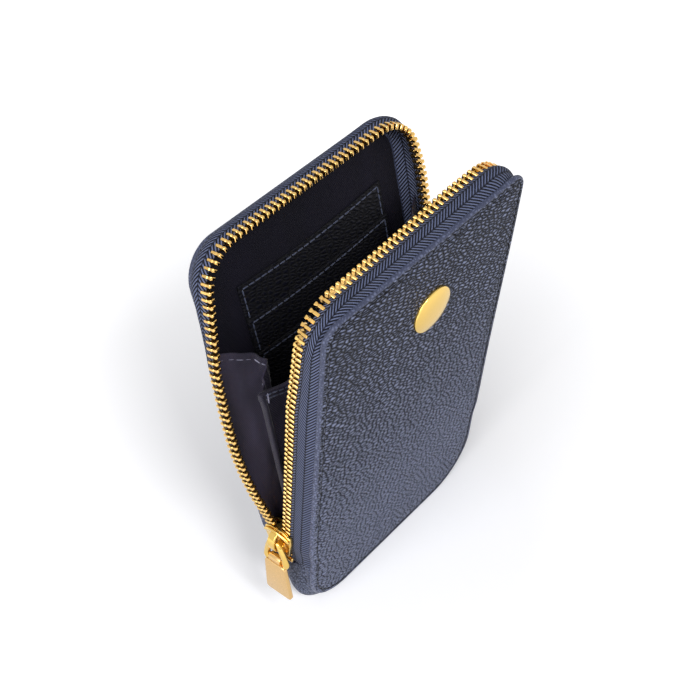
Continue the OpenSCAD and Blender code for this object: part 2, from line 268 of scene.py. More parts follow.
right, up, back = camera_axes()
bpy.ops.object.camera_add(location=AIM + back * DISTANCE + right * SLIDE + up * RISE)
camera = bpy.context.object
camera.rotation_euler = Matrix((right, up, back)).transposed().to_euler()
camera.data.sensor_width = SENSOR
camera.data.lens = FOCAL_PX / FRAME_PX * SENSOR
bpy.context.scene.camera = camera
bpy.context.scene.view_settings.view_transform = "Standard"
print("lens", round(camera.data.lens, 2), "mm")


# %% [markdown]
# ## Helpers for materials
# A material is a tree of nodes round one Principled shader. Colours are picked as sRGB hex codes,
# as on a screen, and the renderer works in linear light, so one function turns them. Another adds
# a node with its settings and links, and a third starts a material from its constants.

# %% Helpers for materials
def linear(code):
    """sRGB hex colour as linear values, with alpha."""
    parts = [int(code[i:i + 2], 16) / 255 for i in (1, 3, 5)]
    return [c / 12.92 if c <= 0.04045 else ((c + 0.055) / 1.055) ** 2.4 for c in parts] + [1]


def add(tree, kind, settings=None, links=None):
    """Adds a node, sets its properties and sockets, and links its inputs."""
    node = tree.nodes.new(kind)
    for key, value in (settings or {}).items():
        if isinstance(key, int) or key in node.inputs:
            node.inputs[key].default_value = value
        else:
            setattr(node, key, value)
    for key, source in (links or {}).items():
        tree.links.new(source, node.inputs[key])
    return node


def watched(tree):
    """1 where the camera, a mirror or glass looks, and 0 where light comes from."""
    path = add(tree, "ShaderNodeLightPath")
    mirrored = add(tree, "ShaderNodeMath", {"operation": "MAXIMUM"},
                   {0: path.outputs["Is Glossy Ray"], 1: path.outputs["Is Transmission Ray"]})
    seen = add(tree, "ShaderNodeMath", {"operation": "MAXIMUM"},
               {0: path.outputs["Is Camera Ray"], 1: mirrored.outputs[0]})
    return seen.outputs[0]


def new_material(name, finish=None):
    """Material with a Principled shader that takes the given constants."""
    material = bpy.data.materials.new(name)
    material.use_nodes = True
    tree = material.node_tree
    shader = tree.nodes["Principled BSDF"]
    for socket, value in (finish or {}).items():
        shader.inputs[socket].default_value = value
    return material, tree, shader


print("mid grey in linear light:", round(linear("#808080")[0], 3))

# %% [markdown]
# ## World, floor and lamps
# In the photograph the pouch stands on plain white. The world is a dim light all round, but shows
# as white. The floor is matt paper. Seen by the camera it also glows a little, more with distance,
# so that it fades to white and leaves only the shadow. A large soft box from the upper left throws
# that shadow to the right, and a smaller one from the front fills the near cover. Sun lamps would
# be simpler, but their hard edges don't suit leather.

# %% World
WORLD_LIGHT, WORLD_SEEN = 0.22, 1.0
world = bpy.data.worlds.new("studio")
bpy.context.scene.world = world
world.use_nodes = True
sky = world.node_tree
sky.nodes.clear()
dim = add(sky, "ShaderNodeBackground", {"Color": linear("#f4f5fa"), "Strength": WORLD_LIGHT})
white = add(sky, "ShaderNodeBackground", {"Color": (1, 1, 1, 1), "Strength": WORLD_SEEN})
mixed = add(sky, "ShaderNodeMixShader", {},
            {0: watched(sky), 1: dim.outputs[0], 2: white.outputs[0]})
add(sky, "ShaderNodeOutputWorld", {}, {"Surface": mixed.outputs[0]})
print("world lights with", WORLD_LIGHT, "and shows as", WORLD_SEEN)

# %% Floor
GLOW_FROM, GLOW_TO, GLOW_LEAST, GLOW_MOST = 0.06, 0.4, 0.12, 0.85
bpy.ops.mesh.primitive_plane_add(size=6)
floor = named("floor")
paint, paper, shader = new_material("Pale matt floor", {
    "Base Color": linear("#fbfbfd"), "Roughness": 0.9, "Specular IOR Level": 0.1})
spot = add(paper, "ShaderNodeTexCoord")
distance = add(paper, "ShaderNodeVectorMath", {"operation": "LENGTH"}, {0: spot.outputs["Object"]})
further = add(paper, "ShaderNodeMapRange",
              {"From Min": GLOW_FROM, "From Max": GLOW_TO,
               "To Min": GLOW_LEAST, "To Max": GLOW_MOST},
              {"Value": distance.outputs["Value"]})
glow = add(paper, "ShaderNodeEmission", {"Color": (1, 1, 1, 1)}, {"Strength": further.outputs[0]})
lit = add(paper, "ShaderNodeAddShader", {}, {0: shader.outputs[0], 1: glow.outputs[0]})
seen_lit = add(paper, "ShaderNodeMixShader", {},
               {0: watched(paper), 1: shader.outputs[0], 2: lit.outputs[0]})
paper.links.new(seen_lit.outputs[0], paper.nodes["Material Output"].inputs["Surface"])
floor.data.materials.append(paint)
print("floor", [round(size, 1) for size in floor.dimensions], "m")


# %% Lamps
def soft_box(name, place, size, watts):
    bpy.ops.object.light_add(type="AREA", location=place)
    lamp = bpy.context.object
    lamp.name = name
    lamp.data.shape = "SQUARE"
    lamp.data.size = size
    lamp.data.energy = watts
    lamp.rotation_euler = (Vector(place) - AIM).to_track_quat("Z", "Y").to_euler()
    return lamp


lamps = [soft_box("key", (-1.4, -0.3, 1.05), 1.1, 21),
         soft_box("front fill", (-0.4, -1.0, 1.1), 0.4, 12)]
print("lamps:", ", ".join(f"{lamp.name} {lamp.data.energy:.0f} W" for lamp in lamps))


# %% [markdown]
# ## Leather
# The outside is full-grain calf that was drummed until it pebbled. On the covers a pebble is about
# 1.3 mm high and 2.9 mm long, and the pebbles lie askew. The grain could be sculpted, but it would
# take millions of faces, so it is drawn by nodes. The distance to the edge of a cell pattern gives
# each pebble a round top with a crease about it, and a noise makes the creases uneven. The creases
# are painted dark, as painted shade for the shade that falls in them. They are wider toward the top
# of the pouch, which paints shade over the upper part of the covers. The domes are smoother than
# the creases, so they shine softly. Where the leather is turned over an edge it is pulled flat,
# with hardly any relief, and its paler colour there is a painted highlight along the rim.

# %% Pebbled leather
UPRIGHT, GRAIN_TURN, GRAIN_WANDER = (0.45, 1, 1), math.radians(-22), 1.5
CREASE_NOISE, CREASE_START, CREASE_LOW, CREASE_HIGH = 0.16, 0.08, 0.3, 0.62
# Painted shade: the creases widen with height, from WIDENS_FROM to WIDENS_TO, so the upper part of
# a cover is darker.
WIDENS_FROM, WIDENS_TO = 40 * MM, 150 * MM


def leather(name, crease_shade, dome, pebble, roughness, relief, spread=None, shine=0.22):
    """Pebbled leather. A spread gives the pebbles' pull along x, y and z on an upright panel."""
    material, tree, shader = new_material(name, {"Specular IOR Level": shine})
    place = add(tree, "ShaderNodeTexCoord")
    wander = add(tree, "ShaderNodeTexNoise", {"Scale": 0.2 / pebble, "Detail": 1.0},
                 {"Vector": place.outputs["Object"]})
    centred = add(tree, "ShaderNodeVectorMath", {"operation": "SUBTRACT", 1: (0.5, 0.5, 0.5)},
                  {0: wander.outputs["Color"]})
    bent = add(tree, "ShaderNodeVectorMath",
               {"operation": "MULTIPLY_ADD", 1: (GRAIN_WANDER * pebble,) * 3},
               {0: centred.outputs[0], 2: place.outputs["Object"]})
    askew = add(tree, "ShaderNodeMapping", {"Rotation": (0, GRAIN_TURN, 0)},
                {"Vector": bent.outputs[0]})
    drawn = add(tree, "ShaderNodeMapping",
                {"Scale": spread or (1, 1, 1), "Rotation": (-math.pi / 2 if spread else 0, 0, 0)},
                {"Vector": askew.outputs[0]})
    cells = add(tree, "ShaderNodeTexVoronoi",
                {"voronoi_dimensions": "2D" if spread else "3D", "feature": "DISTANCE_TO_EDGE",
                 "Scale": 1 / pebble, "Randomness": 0.85}, {"Vector": drawn.outputs[0]})
    pores = add(tree, "ShaderNodeTexNoise", {"Scale": 2.2 / pebble, "Detail": 3.0},
                {"Vector": drawn.outputs[0]})
    uneven = add(tree, "ShaderNodeMath", {"operation": "MULTIPLY_ADD", 1: CREASE_NOISE},
                 {0: pores.outputs[0], 2: cells.outputs["Distance"]})
    upward = add(tree, "ShaderNodeSeparateXYZ", {}, {"Vector": place.outputs["Object"]})
    # Painted shade: the width of the dark creases grows toward the top of the pouch.
    top_shade_crease_w = add(tree, "ShaderNodeMapRange",
                   {"From Min": WIDENS_FROM, "From Max": WIDENS_TO,
                    "To Min": CREASE_LOW, "To Max": CREASE_HIGH},
                   {"Value": upward.outputs["Z"]})
    domes = add(tree, "ShaderNodeMapRange",
                {"interpolation_type": "SMOOTHSTEP", "From Min": CREASE_START},
                {"Value": uneven.outputs[0], "From Max": top_shade_crease_w.outputs[0]})
    round_top = add(tree, "ShaderNodeMapRange",
                    {"interpolation_type": "SMOOTHSTEP", "From Max": 0.5},
                    {"Value": uneven.outputs[0]})
    height = add(tree, "ShaderNodeMath", {"operation": "MULTIPLY_ADD", 1: 0.3},
                 {0: domes.outputs[0], 2: round_top.outputs[0]})
    # Painted shade: the creases get the dark first colour, and the domes the second.
    tint = add(tree, "ShaderNodeMix",
               {"data_type": "RGBA", "A": linear(crease_shade), "B": linear(dome)},
               {"Factor": domes.outputs[0]})
    tree.links.new(tint.outputs["Result"], shader.inputs["Base Color"])
    gloss = add(tree, "ShaderNodeMapRange", {"To Min": roughness + 0.3, "To Max": roughness},
                {"Value": domes.outputs[0]})
    tree.links.new(gloss.outputs[0], shader.inputs["Roughness"])
    bump = add(tree, "ShaderNodeBump", {"Strength": 1.0, "Distance": relief},
               {"Height": height.outputs[0]})
    tree.links.new(bump.outputs[0], shader.inputs["Normal"])
    return material


# %% Leathers of the pouch
# The first colour of each leather is the painted shade in its creases.
navy_leather = leather("Pebbled calf leather, navy", "#010207", "#7a82a0", 1.3 * MM, 0.42, 0.9 * MM,
                       UPRIGHT, shine=0.2)
# Painted highlight: the turned edge is smoother and glossier, and its paler colours paint the light
# that the rounded rim catches.
edge_leather_painted_highlight = leather("Calf leather, turned edge", "#2a3048", "#5f6785", 1.2 * MM, 0.3,
                       0.1 * MM, shine=0.5)
end_leather = leather("Pebbled calf leather, fine", "#171a28", "#5f6884", 1.2 * MM, 0.4,
                      0.12 * MM)
slot_leather = leather("Pebbled calf leather, near black", "#020206", "#0e0f1a", 1.4 * MM, 0.45,
                       0.25 * MM, UPRIGHT)
leathers = (navy_leather, edge_leather_painted_highlight, end_leather, slot_leather)
print("leathers:", ", ".join(material.name for material in leathers))

# %% [markdown]
# ## The covers
# A cover is one sheet of leather from the floor to its top edge, turned over a stiffening board and
# top-stitched. It starts as a plane whose corners are bevelled round. It is then extruded to its
# thickness, its rim is bevelled full, and insets give the flat strip along the edge, the groove
# that the stitches lie in, painted dark as painted shade, and the slight swell of the middle. It is
# also cut across at the fold. Two separate slabs would be simpler, but a seam would then open at
# the fold.

# %% A panel with round corners
def flat_panel(name, width, low_v, high_v, low_r, high_r, thickness, rim):
    """Panel lying down with its outer face at zero height and a rounded rim."""
    bpy.ops.mesh.primitive_plane_add(size=1)
    obj = named(name)
    co = points_of(obj)
    set_points(obj, np.stack([co[:, 0] * width, low_v + (co[:, 1] + 0.5) * (high_v - low_v),
                              co[:, 2]], 1))
    for corner_v, radius in ((high_v, high_r), (low_v, low_r)):
        pick_points(obj, lambda c: abs(c.y - corner_v) < rim and abs(abs(c.x) - width / 2) < rim)
        bpy.ops.mesh.bevel(affect="VERTICES", offset=radius, segments=14)
        leave()
    pick_faces(obj, lambda c, n: True)
    bpy.ops.mesh.extrude_region_move(TRANSFORM_OT_translate={"value": (0, 0, -thickness)})
    leave()
    outward(obj)
    pick_faces(obj, lambda c, n: abs(n.z) > 0.9)
    bpy.ops.mesh.bevel(offset=rim, segments=4, affect="EDGES")
    leave()
    return obj


print("helper for panels:", flat_panel.__doc__)


# %% Rings inside the edge, and cuts
def inset_face(obj, steps):
    """Insets the outer face by steps of width, rise and the number of the new ring's material."""
    top = max(c.co.z for c in obj.data.vertices)
    pick_faces(obj, lambda c, n: n.z > 0.99 and c.z > top - 0.1 * MM)
    leave()
    for face in obj.data.polygons:
        face.material_index = int(not face.select)
    for width, rise, finish in steps:
        before = len(obj.data.polygons)
        bpy.ops.object.mode_set(mode="EDIT")
        bpy.ops.mesh.inset(thickness=width * MM, depth=rise * MM)
        leave()
        for face in obj.data.polygons[before:]:
            face.material_index = finish


def cut(obj, places, axis):
    """Cuts a piece straight through at several places along an axis."""
    for place in places:
        only(obj)
        bpy.ops.object.mode_set(mode="EDIT")
        bpy.ops.mesh.select_all(action="SELECT")
        middle, normal = [0, 0, 0], [0, 0, 0]
        middle[axis], normal[axis] = place, 1
        bpy.ops.mesh.bisect(plane_co=middle, plane_no=normal)
        leave()


print("helpers for rings and cuts:", inset_face.__name__, "and", cut.__name__)

# %% Cover leather
RIM, LEATHER_R = 0.9 * MM, {FRONT: 7 * MM, BACK: 14 * MM}
FACE, TURNED_EDGE, GROOVE_SHADE = 0, 1, 2
# The turned edge's paler leather is a painted highlight along the rim.
COVER_FINISH = {FACE: navy_leather, TURNED_EDGE: edge_leather_painted_highlight, GROOVE_SHADE: slot_leather}
# Painted shade: the two groove rings get near black leather, which stands in for the shade in the
# groove.
EDGE_STEPS = ((1.2, 0.15, FACE), (0.5, -0.75, GROOVE_SHADE), (0.5, 0.67, GROOVE_SHADE), (3, 0.3, FACE))
FOLD_REACH, UNEVEN, EVEN_RIM, UNEVEN_FADE = 5 * MM, 0.18 * MM, 8 * MM, 20 * MM
CUTS_UP, CUTS_ACROSS = np.arange(14 * MM, COVER_H, 9 * MM), np.arange(-40, 41, 8) * MM


def blend_at_fold(obj):
    """Bakes a piece's transform into its points, and leaves its shape as it is."""
    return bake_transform(obj)


def cover_leather(side):
    which = WHICH[side]
    obj = flat_panel(f"{which}_cover_leather", COVER_W, 0, COVER_H, BOTTOM_R, LEATHER_R[side],
                     COVER_T, RIM)
    for finish in sorted(COVER_FINISH):
        obj.data.materials.append(COVER_FINISH[finish])
    inset_face(obj, EDGE_STEPS)
    cut(obj, np.arange(FOLD_V - FOLD_REACH, FOLD_V + FOLD_REACH + MM, MM), 1)
    cut(obj, CUTS_UP, 1)
    cut(obj, CUTS_ACROSS, 0)
    co = points_of(obj)
    inner = np.clip((COVER_W / 2 - EVEN_RIM - abs(co[:, 0])) / UNEVEN_FADE, 0, 1)
    wave = np.sin(co[:, 0] * 90 + 1) * np.sin(co[:, 1] * 70)
    co[:, 2] += np.where(co[:, 2] > 0, UNEVEN * wave * inner, 0)
    set_points(obj, co)
    smooth(obj, 50)
    stand_up(obj, side)
    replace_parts(obj, f"{which}_leather", f"{which}_foot_leather")
    return blend_at_fold(obj)


covers = {side: cover_leather(side) for side in (FRONT, BACK)}
print("cover leather faces:", [len(c.data.polygons) for c in covers.values()])

# %% [markdown]
# ## Zip tape
# The tape comes out from under the leather and carries the teeth on its free edge. It could be a
# curve with a flat profile, but a grid laid along the cover's rim also gives each point its place
# along and across the tape, so the weave can follow it. The back tape is slack and bows outward.
# It is made in lengths.

# %% Line of the zip round a cover
teeth_low, teeth_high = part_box("front_side_teeth")
CHAIN_OUT = -(teeth_low.x + teeth_high.x) / 2 - COVER_W / 2
TOOTH_H = teeth_high.x - teeth_low.x
PITCH, TOOTH_T, TOOTH_NEAR = 2.54 * MM, 1.05 * MM, 8.8 * MM
RUN_SIDE = COVER_H - TOP_R - FOLD_V
RUN_CORNER = (TOP_R + CHAIN_OUT) * math.pi / 2
RUN_TOP = COVER_W - 2 * TOP_R
RUN_ALL = 2 * (RUN_SIDE + RUN_CORNER) + RUN_TOP


def rim_turn(run):
    """Direction that faces outward from the rim after a length of zip, as an angle."""
    first = np.clip((run - RUN_SIDE) / RUN_CORNER, 0, 1)
    second = np.clip((run - RUN_SIDE - RUN_CORNER - RUN_TOP) / RUN_CORNER, 0, 1)
    return math.pi * (1 - (first + second) / 2)


def rim_place(run, out):
    """Place lying down, a distance outside the cover's edge."""
    turn = rim_turn(run)
    x = TOP_R - COVER_W / 2 + np.clip(run - RUN_SIDE - RUN_CORNER, 0, RUN_TOP)
    v = COVER_H - TOP_R - np.clip(RUN_SIDE - run, 0, None)
    v = v - np.clip(run - RUN_ALL + RUN_SIDE, 0, None)
    return x + (TOP_R + out) * np.cos(turn), v + (TOP_R + out) * np.sin(turn)


print(f"zip round one cover: {RUN_ALL / MM:.0f} mm, {int(RUN_ALL / PITCH)} teeth")

# %% How far the slack back tape bows out
LEFT_BOW = ((9, 0), (14.5, 1.3), (20.5, 2.5), (30.5, 4.6), (41.5, 6), (52.5, 6.8), (66.5, 6.5),
            (80.5, 5.6), (86.5, 5.1), (97.5, 2.9), (106.5, 1.2), (111.9, 0))
RIGHT_BOW = ((0, 0), (5, 0.9), (11, 1.4), (21, 1.1), (40, 0.8), (60, 0.4), (80, 0.1), (92, 0))
FRONT_PULL = ((85, 0), (100, -0.6), (112, -1), (140, -1.1), (155, -0.9), (175, -0.5), (195, 0))
LIFT = {FRONT: -1.2, BACK: 0.13}
PUFF = {FRONT: ((0, 1), (195, 1), (215, 2.8), (232, 2), (250, 1)),
        BACK: ((0, 1), (80, 1.6), (105, 2.2), (180, 2.2), (200, 2.8), (220, 3.2), (240, 1.6),
               (260, 1))}
TAPE_W, TAPE_DEPTH = 8.7 * MM, 1.5 * MM
UNDER_COVER, UNDER_GUSSET, TUCK_V, TUCK_FADE = 0.8 * MM, 1.8 * MM, 27.5 * MM, 4 * MM


def bow(run, side):
    """How far the tape's free edge stands out from its straight line, after a length of zip."""
    if side == FRONT:
        return np.interp(run / MM, *zip(*FRONT_PULL)) * MM
    left = np.interp(run / MM, *zip(*LEFT_BOW))
    right = np.interp((run - RUN_ALL + RUN_SIDE) / MM, *zip(*RIGHT_BOW))
    return (left + right) * MM


def tape_point(run, share, side):
    """Middle of the tape after a length of zip, at a share of its width from the cover."""
    slack = bow(run, side)
    depth = TAPE_DEPTH + share * (TAPE_W - LIFT[side] * slack)
    puff = np.interp(run / MM, *zip(*PUFF[side])) * MM
    lean_out = -UNDER_COVER + share * (CHAIN_OUT + UNDER_COVER) + puff * np.sin(math.pi * share)
    height = FOLD_V + np.minimum(run, RUN_ALL - run)
    tucked = 1 - eased((height - TUCK_V) / TUCK_FADE)
    lean_out = lean_out * (1 - tucked) - UNDER_GUSSET * tucked
    x, v = rim_place(run, lean_out + slack * share * share * (3 - 2 * share))
    return np.stack([x, v, -depth], -1)


print("bow at mid left:", round(float(bow(RUN_SIDE / 2, BACK)) / MM, 2), "mm")

# %% [markdown]
# ## Woven tape
# The tape is woven in herringbone from dyed polyester. The yarn is matt with a faint sheen, and its
# slanting threads catch the light in turn, so the eye sees columns of light and dark strokes. The
# strokes come from a sine across a folded place, which turns back at each column. They are in the
# bump, and are also painted into the colour: a painted highlight on the ridges, painted shade in
# the valleys and where the columns meet, with a random fuzz of tone. They are drawn 1.5 mm apart,
# coarser than the real threads so that they show.

# %% Woven tape material
COLUMN_W, THREAD_GAP, SLANT, FUZZ_GAP = 3.1 * MM, 1.5 * MM, 1.3, MM / 1.8


def woven_tape(name, dark, light):
    """Herringbone on a strip, whose UV is the place along and across it in metres."""
    material, tree, shader = new_material(name, {
        "Roughness": 0.8, "Specular IOR Level": 0.15, "Sheen Weight": 0.06, "Sheen Roughness": 0.4})
    uv = add(tree, "ShaderNodeUVMap")
    place = add(tree, "ShaderNodeSeparateXYZ", {}, {"Vector": uv.outputs[0]})
    column = add(tree, "ShaderNodeMath", {"operation": "PINGPONG", 1: COLUMN_W},
                 {0: place.outputs["Y"]})
    slant = add(tree, "ShaderNodeMath", {"operation": "MULTIPLY_ADD", 1: SLANT},
                {0: column.outputs[0], 2: place.outputs["X"]})
    angle = add(tree, "ShaderNodeMath", {"operation": "MULTIPLY", 1: 2 * math.pi / THREAD_GAP},
                {0: slant.outputs[0]})
    thread = add(tree, "ShaderNodeMath", {"operation": "SINE"}, {0: angle.outputs[0]})
    rib = add(tree, "ShaderNodeMapRange",
              {"interpolation_type": "SMOOTHSTEP", "From Min": -0.7, "From Max": 0.8},
              {"Value": thread.outputs[0]})
    middle = add(tree, "ShaderNodeMath", {"operation": "PINGPONG", 1: COLUMN_W / 2},
                 {0: place.outputs["Y"]})
    seam = add(tree, "ShaderNodeMapRange", {"From Max": 0.35 * MM}, {"Value": middle.outputs[0]})
    height = add(tree, "ShaderNodeMath", {"operation": "MULTIPLY"},
                 {0: rib.outputs[0], 1: seam.outputs[0]})
    fuzz = add(tree, "ShaderNodeTexNoise", {"Scale": 1 / FUZZ_GAP}, {"Vector": uv.outputs[0]})
    worn = add(tree, "ShaderNodeMath", {"operation": "MULTIPLY_ADD", 1: 0.5, 2: -0.25},
               {0: fuzz.outputs[0]})
    shade = add(tree, "ShaderNodeMath", {"operation": "ADD", "use_clamp": True},
                {0: height.outputs[0], 1: worn.outputs[0]})
    # Painted highlight and shade: the ridges get the light colour, and the valleys and column edges
    # the dark one.
    tint = add(tree, "ShaderNodeMix",
               {"data_type": "RGBA", "A": linear(dark), "B": linear(light)},
               {"Factor": shade.outputs[0]})
    tree.links.new(tint.outputs["Result"], shader.inputs["Base Color"])
    bump = add(tree, "ShaderNodeBump", {"Strength": 1.0, "Distance": 0.3 * MM},
               {"Height": height.outputs[0]})
    tree.links.new(bump.outputs[0], shader.inputs["Normal"])
    return material


# The light colour is the painted highlight on the threads, and the dark one their painted shade.
tape_weave = woven_tape("Polyester tape, herringbone weave", "#06070e", "#626a88")
print("weave: threads", THREAD_GAP / MM, "mm apart in columns of", COLUMN_W / MM, "mm")

# %% Lengths of tape
TAPE_T, GRID_STEP, FLAT_SHARE = 0.8 * MM, 1.6 * MM, 0.12
TAPE_FOOT = 25 * MM - FOLD_V
BOW_FOOT = LEFT_BOW[0][0] * MM
RIGHT_TOP, RIGHT_FOOT = RUN_ALL - RUN_SIDE, RUN_ALL - 20 * MM


def set_uv(obj, run_of, across_of):
    """Gives each point its real place along and across a strip, in metres."""
    layer = obj.data.uv_layers.active or obj.data.uv_layers.new(name="UVMap")
    which = np.empty(len(obj.data.loops), int)
    obj.data.loops.foreach_get("vertex_index", which)
    layer.data.foreach_set("uv", np.stack([run_of[which], across_of[which]], 1).ravel())


def tape_length(name, side, start, end):
    steps = max(2, round((end - start) / GRID_STEP))
    bpy.ops.mesh.primitive_grid_add(x_subdivisions=steps, y_subdivisions=8, size=1)
    obj = named(name)
    co = points_of(obj)
    run, share = start + (co[:, 0] + 0.5) * (end - start), co[:, 1] + 0.5
    set_points(obj, tape_point(run, share, side))
    set_uv(obj, run, share * TAPE_W)
    apply(obj, "SOLIDIFY", thickness=TAPE_T, offset=0)
    stand_up(obj, side)
    smooth(obj, 50)
    obj.data.materials.append(tape_weave)
    return obj


def goes_flat(obj):
    """Puts a bowed length on the back cover's body, with a mesh of its own."""
    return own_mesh(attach(obj, "back_cover"))


# %% Both tapes
front_tape = tape_length("front_tape", FRONT, TAPE_FOOT, RUN_ALL - TAPE_FOOT)
blend_at_fold(front_tape)
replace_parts(front_tape, "front_side_tape", "front_top_tape")
left_foot = tape_length("back_tape_left_foot", BACK, TAPE_FOOT, BOW_FOOT)
right_foot = tape_length("back_tape_right_foot", BACK, RIGHT_FOOT, RUN_ALL - TAPE_FOOT)
for foot, node in ((left_foot, "left_foot_tape"), (right_foot, "right_foot_tape")):
    blend_at_fold(foot)
    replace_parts(foot, node)
left_tape = tape_length("back_tape_left", BACK, BOW_FOOT, RUN_SIDE)
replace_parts(goes_flat(left_tape), "back_side_tape")
top_tape = tape_length("back_tape_top", BACK, RUN_SIDE, RIGHT_TOP)
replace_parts(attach(top_tape, "back_cover"), "back_top_tape")
right_tape = tape_length("back_tape_right", BACK, RIGHT_TOP, RIGHT_FOOT)
goes_flat(right_tape)
most = bow(np.linspace(0, RUN_ALL, 300), BACK).max()
print("the back tape bows out by", round(most / MM, 2), "mm")

# %% [markdown]
# ## Brass and gold plate
# The teeth are stamped from brass and tumbled, so they are warm and bright with softened edges. The
# slider, the link and the ornament are plated bright gold, with clear highlights. The pull tab is
# plated satin, which spreads its highlight over the plate. A noise in the roughness breaks up the
# reflections, because metal of one roughness looks like plastic.

# %% Brass
def brass(name, colour, roughness, grit):
    """Metal with slight unevenness in its shine, a grit apart."""
    material, tree, shader = new_material(name, {"Base Color": linear(colour), "Metallic": 1.0})
    place = add(tree, "ShaderNodeTexCoord")
    noise = add(tree, "ShaderNodeTexNoise", {"Scale": 1 / grit, "Detail": 4.0},
                {"Vector": place.outputs["Object"]})
    gloss = add(tree, "ShaderNodeMapRange",
                {"To Min": roughness - 0.06, "To Max": roughness + 0.08},
                {"Value": noise.outputs[0]})
    tree.links.new(gloss.outputs[0], shader.inputs["Roughness"])
    bump = add(tree, "ShaderNodeBump", {"Strength": 0.1, "Distance": 0.03 * MM},
               {"Height": noise.outputs[0]})
    tree.links.new(bump.outputs[0], shader.inputs["Normal"])
    return material


tooth_brass = brass("Stamped brass, tumbled bright", "#e2b96e", 0.2, 0.5 * MM)
gold_plate = brass("Zinc casting, satin gold plate", "#d9b47a", 0.26, 0.3 * MM)
bright_plate = brass("Zinc casting, bright gold plate", "#e0bc68", 0.2, 0.3 * MM)
print("metals:", ", ".join(m.name for m in (tooth_brass, gold_plate, bright_plate)))

# %% [markdown]
# ## Teeth
# A tooth is clamped on the tape's edge by two legs. Past the legs it narrows to a neck and ends in
# a head, which locks between two heads of the other side. One tooth is extruded from a cube, a few
# dozen faces in all, and copied along the rim. Instances would be lighter, but each row has to be
# one mesh that goes with its cover.

# %% One tooth
LEG = 2.2 * MM
TOOTH_STEPS = ((0.35, 0.8, 0.8), (0.4, 1.0, 1.0), (0.35, 1.5, 1.0), (0.55, 1.0, 0.98),
               (0.35, 0.62, 0.7))


def one_tooth():
    """Extrudes the legs by steps of rise in mm and of change in width and in thickness."""
    bpy.ops.mesh.primitive_cube_add(size=1, location=(0, 0, LEG / 2))
    tooth = bpy.context.object
    tooth.scale = (TOOTH_T, TOOTH_H, LEG)
    tooth = named("tooth")
    height = LEG
    for rise, wide, thick in TOOTH_STEPS:
        pick_faces(tooth, lambda c, n: n.z > 0.9 and c.z > height - 0.01 * MM)
        height += rise * MM
        bpy.ops.mesh.extrude_region_move(TRANSFORM_OT_translate={"value": (0, 0, rise * MM)})
        bpy.ops.transform.resize(value=(wide, thick, 1), center_override=(0, 0, height))
        leave()
    return outward(round_edges(tooth, 0.14 * MM, 1))


tooth = one_tooth()
print("tooth:", len(tooth.data.polygons), "faces,", round(tooth.dimensions.z / MM, 2), "mm long")


# %% Rows of teeth
def lay_copies(name, piece, places):
    """Copies a small piece to each place, given with its three directions, and joins the copies."""
    shape = points_of(piece)
    copies = []
    for origin, directions in places:
        copy = piece.copy()
        copy.data = piece.data.copy()
        bpy.context.collection.objects.link(copy)
        set_points(copy, origin + shape @ np.array(directions, float))
        copies.append(copy)
    return join(name, copies)


def row_of_teeth(name, side, runs):
    """Teeth at lengths along the zip, each with its legs on the tape and its head inward."""
    places = []
    for run in runs:
        slack = float(bow(np.array([run]), side)[0])
        turn = rim_turn(run)
        x, v = rim_place(run, CHAIN_OUT + slack)
        along = np.array([-np.sin(turn), np.cos(turn), 0])
        outer = np.array([np.cos(turn), np.sin(turn), 0])
        near = np.array([x, v, -TOOTH_NEAR + LIFT[side] * slack])
        places.append((near, (along, outer, (0, 0, -1))))
    row = stand_up(lay_copies(name, tooth, places), side)
    smooth(row, 35)
    row.data.materials.append(tooth_brass)
    return row


def closes_with_bow(row, runs):
    """Puts a few bowed teeth on the back cover's body, with a mesh of their own."""
    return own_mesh(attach(row, "back_cover"))


print("helpers for rows:", row_of_teeth.__name__, "and", closes_with_bow.__name__)

# %% Straight rows
PHASE = {FRONT: 0.25, BACK: 0.75}
FOOT_RUN, FIRST_RUN, LAST_RUN = 33.5 * MM - FOLD_V, 0.4 * PITCH, RUN_ALL - PITCH


def teeth_runs(side, start, end):
    """Where the teeth of a side sit along the zip. The two sides are half a pitch apart."""
    runs = (np.arange(-3, int(RUN_ALL / PITCH) + 4) + PHASE[side]) * PITCH
    return runs[(runs > start) & (runs < end)]


front_teeth = row_of_teeth("front_teeth", FRONT, teeth_runs(FRONT, FIRST_RUN, LAST_RUN))
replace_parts(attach(front_teeth, "front_cover"), "front_side_teeth", "front_top_teeth")
back_runs = teeth_runs(BACK, FIRST_RUN, LAST_RUN)
bowed_out = bow(back_runs, BACK) > 0.15 * MM
back_teeth = row_of_teeth("back_teeth", BACK, back_runs[~bowed_out])
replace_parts(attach(back_teeth, "back_cover"), "back_side_teeth", "back_top_teeth")
print("bowed out:", int(bowed_out.sum()), "of", len(back_runs), "teeth on the back tape")

# %% Bowed teeth in small groups
SAME_BOW, MOST_TEETH = 0.55 * MM, 4
groups = [[back_runs[bowed_out][0]]]
for run in back_runs[bowed_out][1:]:
    first = groups[-1][0]
    change = abs(bow(np.array([run, first]), BACK) @ [1, -1])
    if change > SAME_BOW or run - first > MOST_TEETH * PITCH:
        groups.append([])
    groups[-1].append(run)
for number, runs in enumerate(groups, 1):
    closes_with_bow(row_of_teeth(f"back_teeth_bowed_{number}", BACK, runs), runs)
print("groups that go straight as the pouch closes:", len(groups))

# %% Teeth of the closed foot
for side, end in ((FRONT, "left"), (BACK, "right")):
    runs = np.concatenate([teeth_runs(side, FOOT_RUN, FIRST_RUN),
                           teeth_runs(side, LAST_RUN, RUN_ALL - FOOT_RUN)])
    foot = row_of_teeth(f"{WHICH[side]}_foot_teeth", side, runs)
    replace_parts(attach(foot, "base"), f"{end}_foot_teeth")
bpy.data.objects.remove(tooth)
print("closed foot reaches", round(-FOOT_RUN / MM, 1), "mm below the fold")


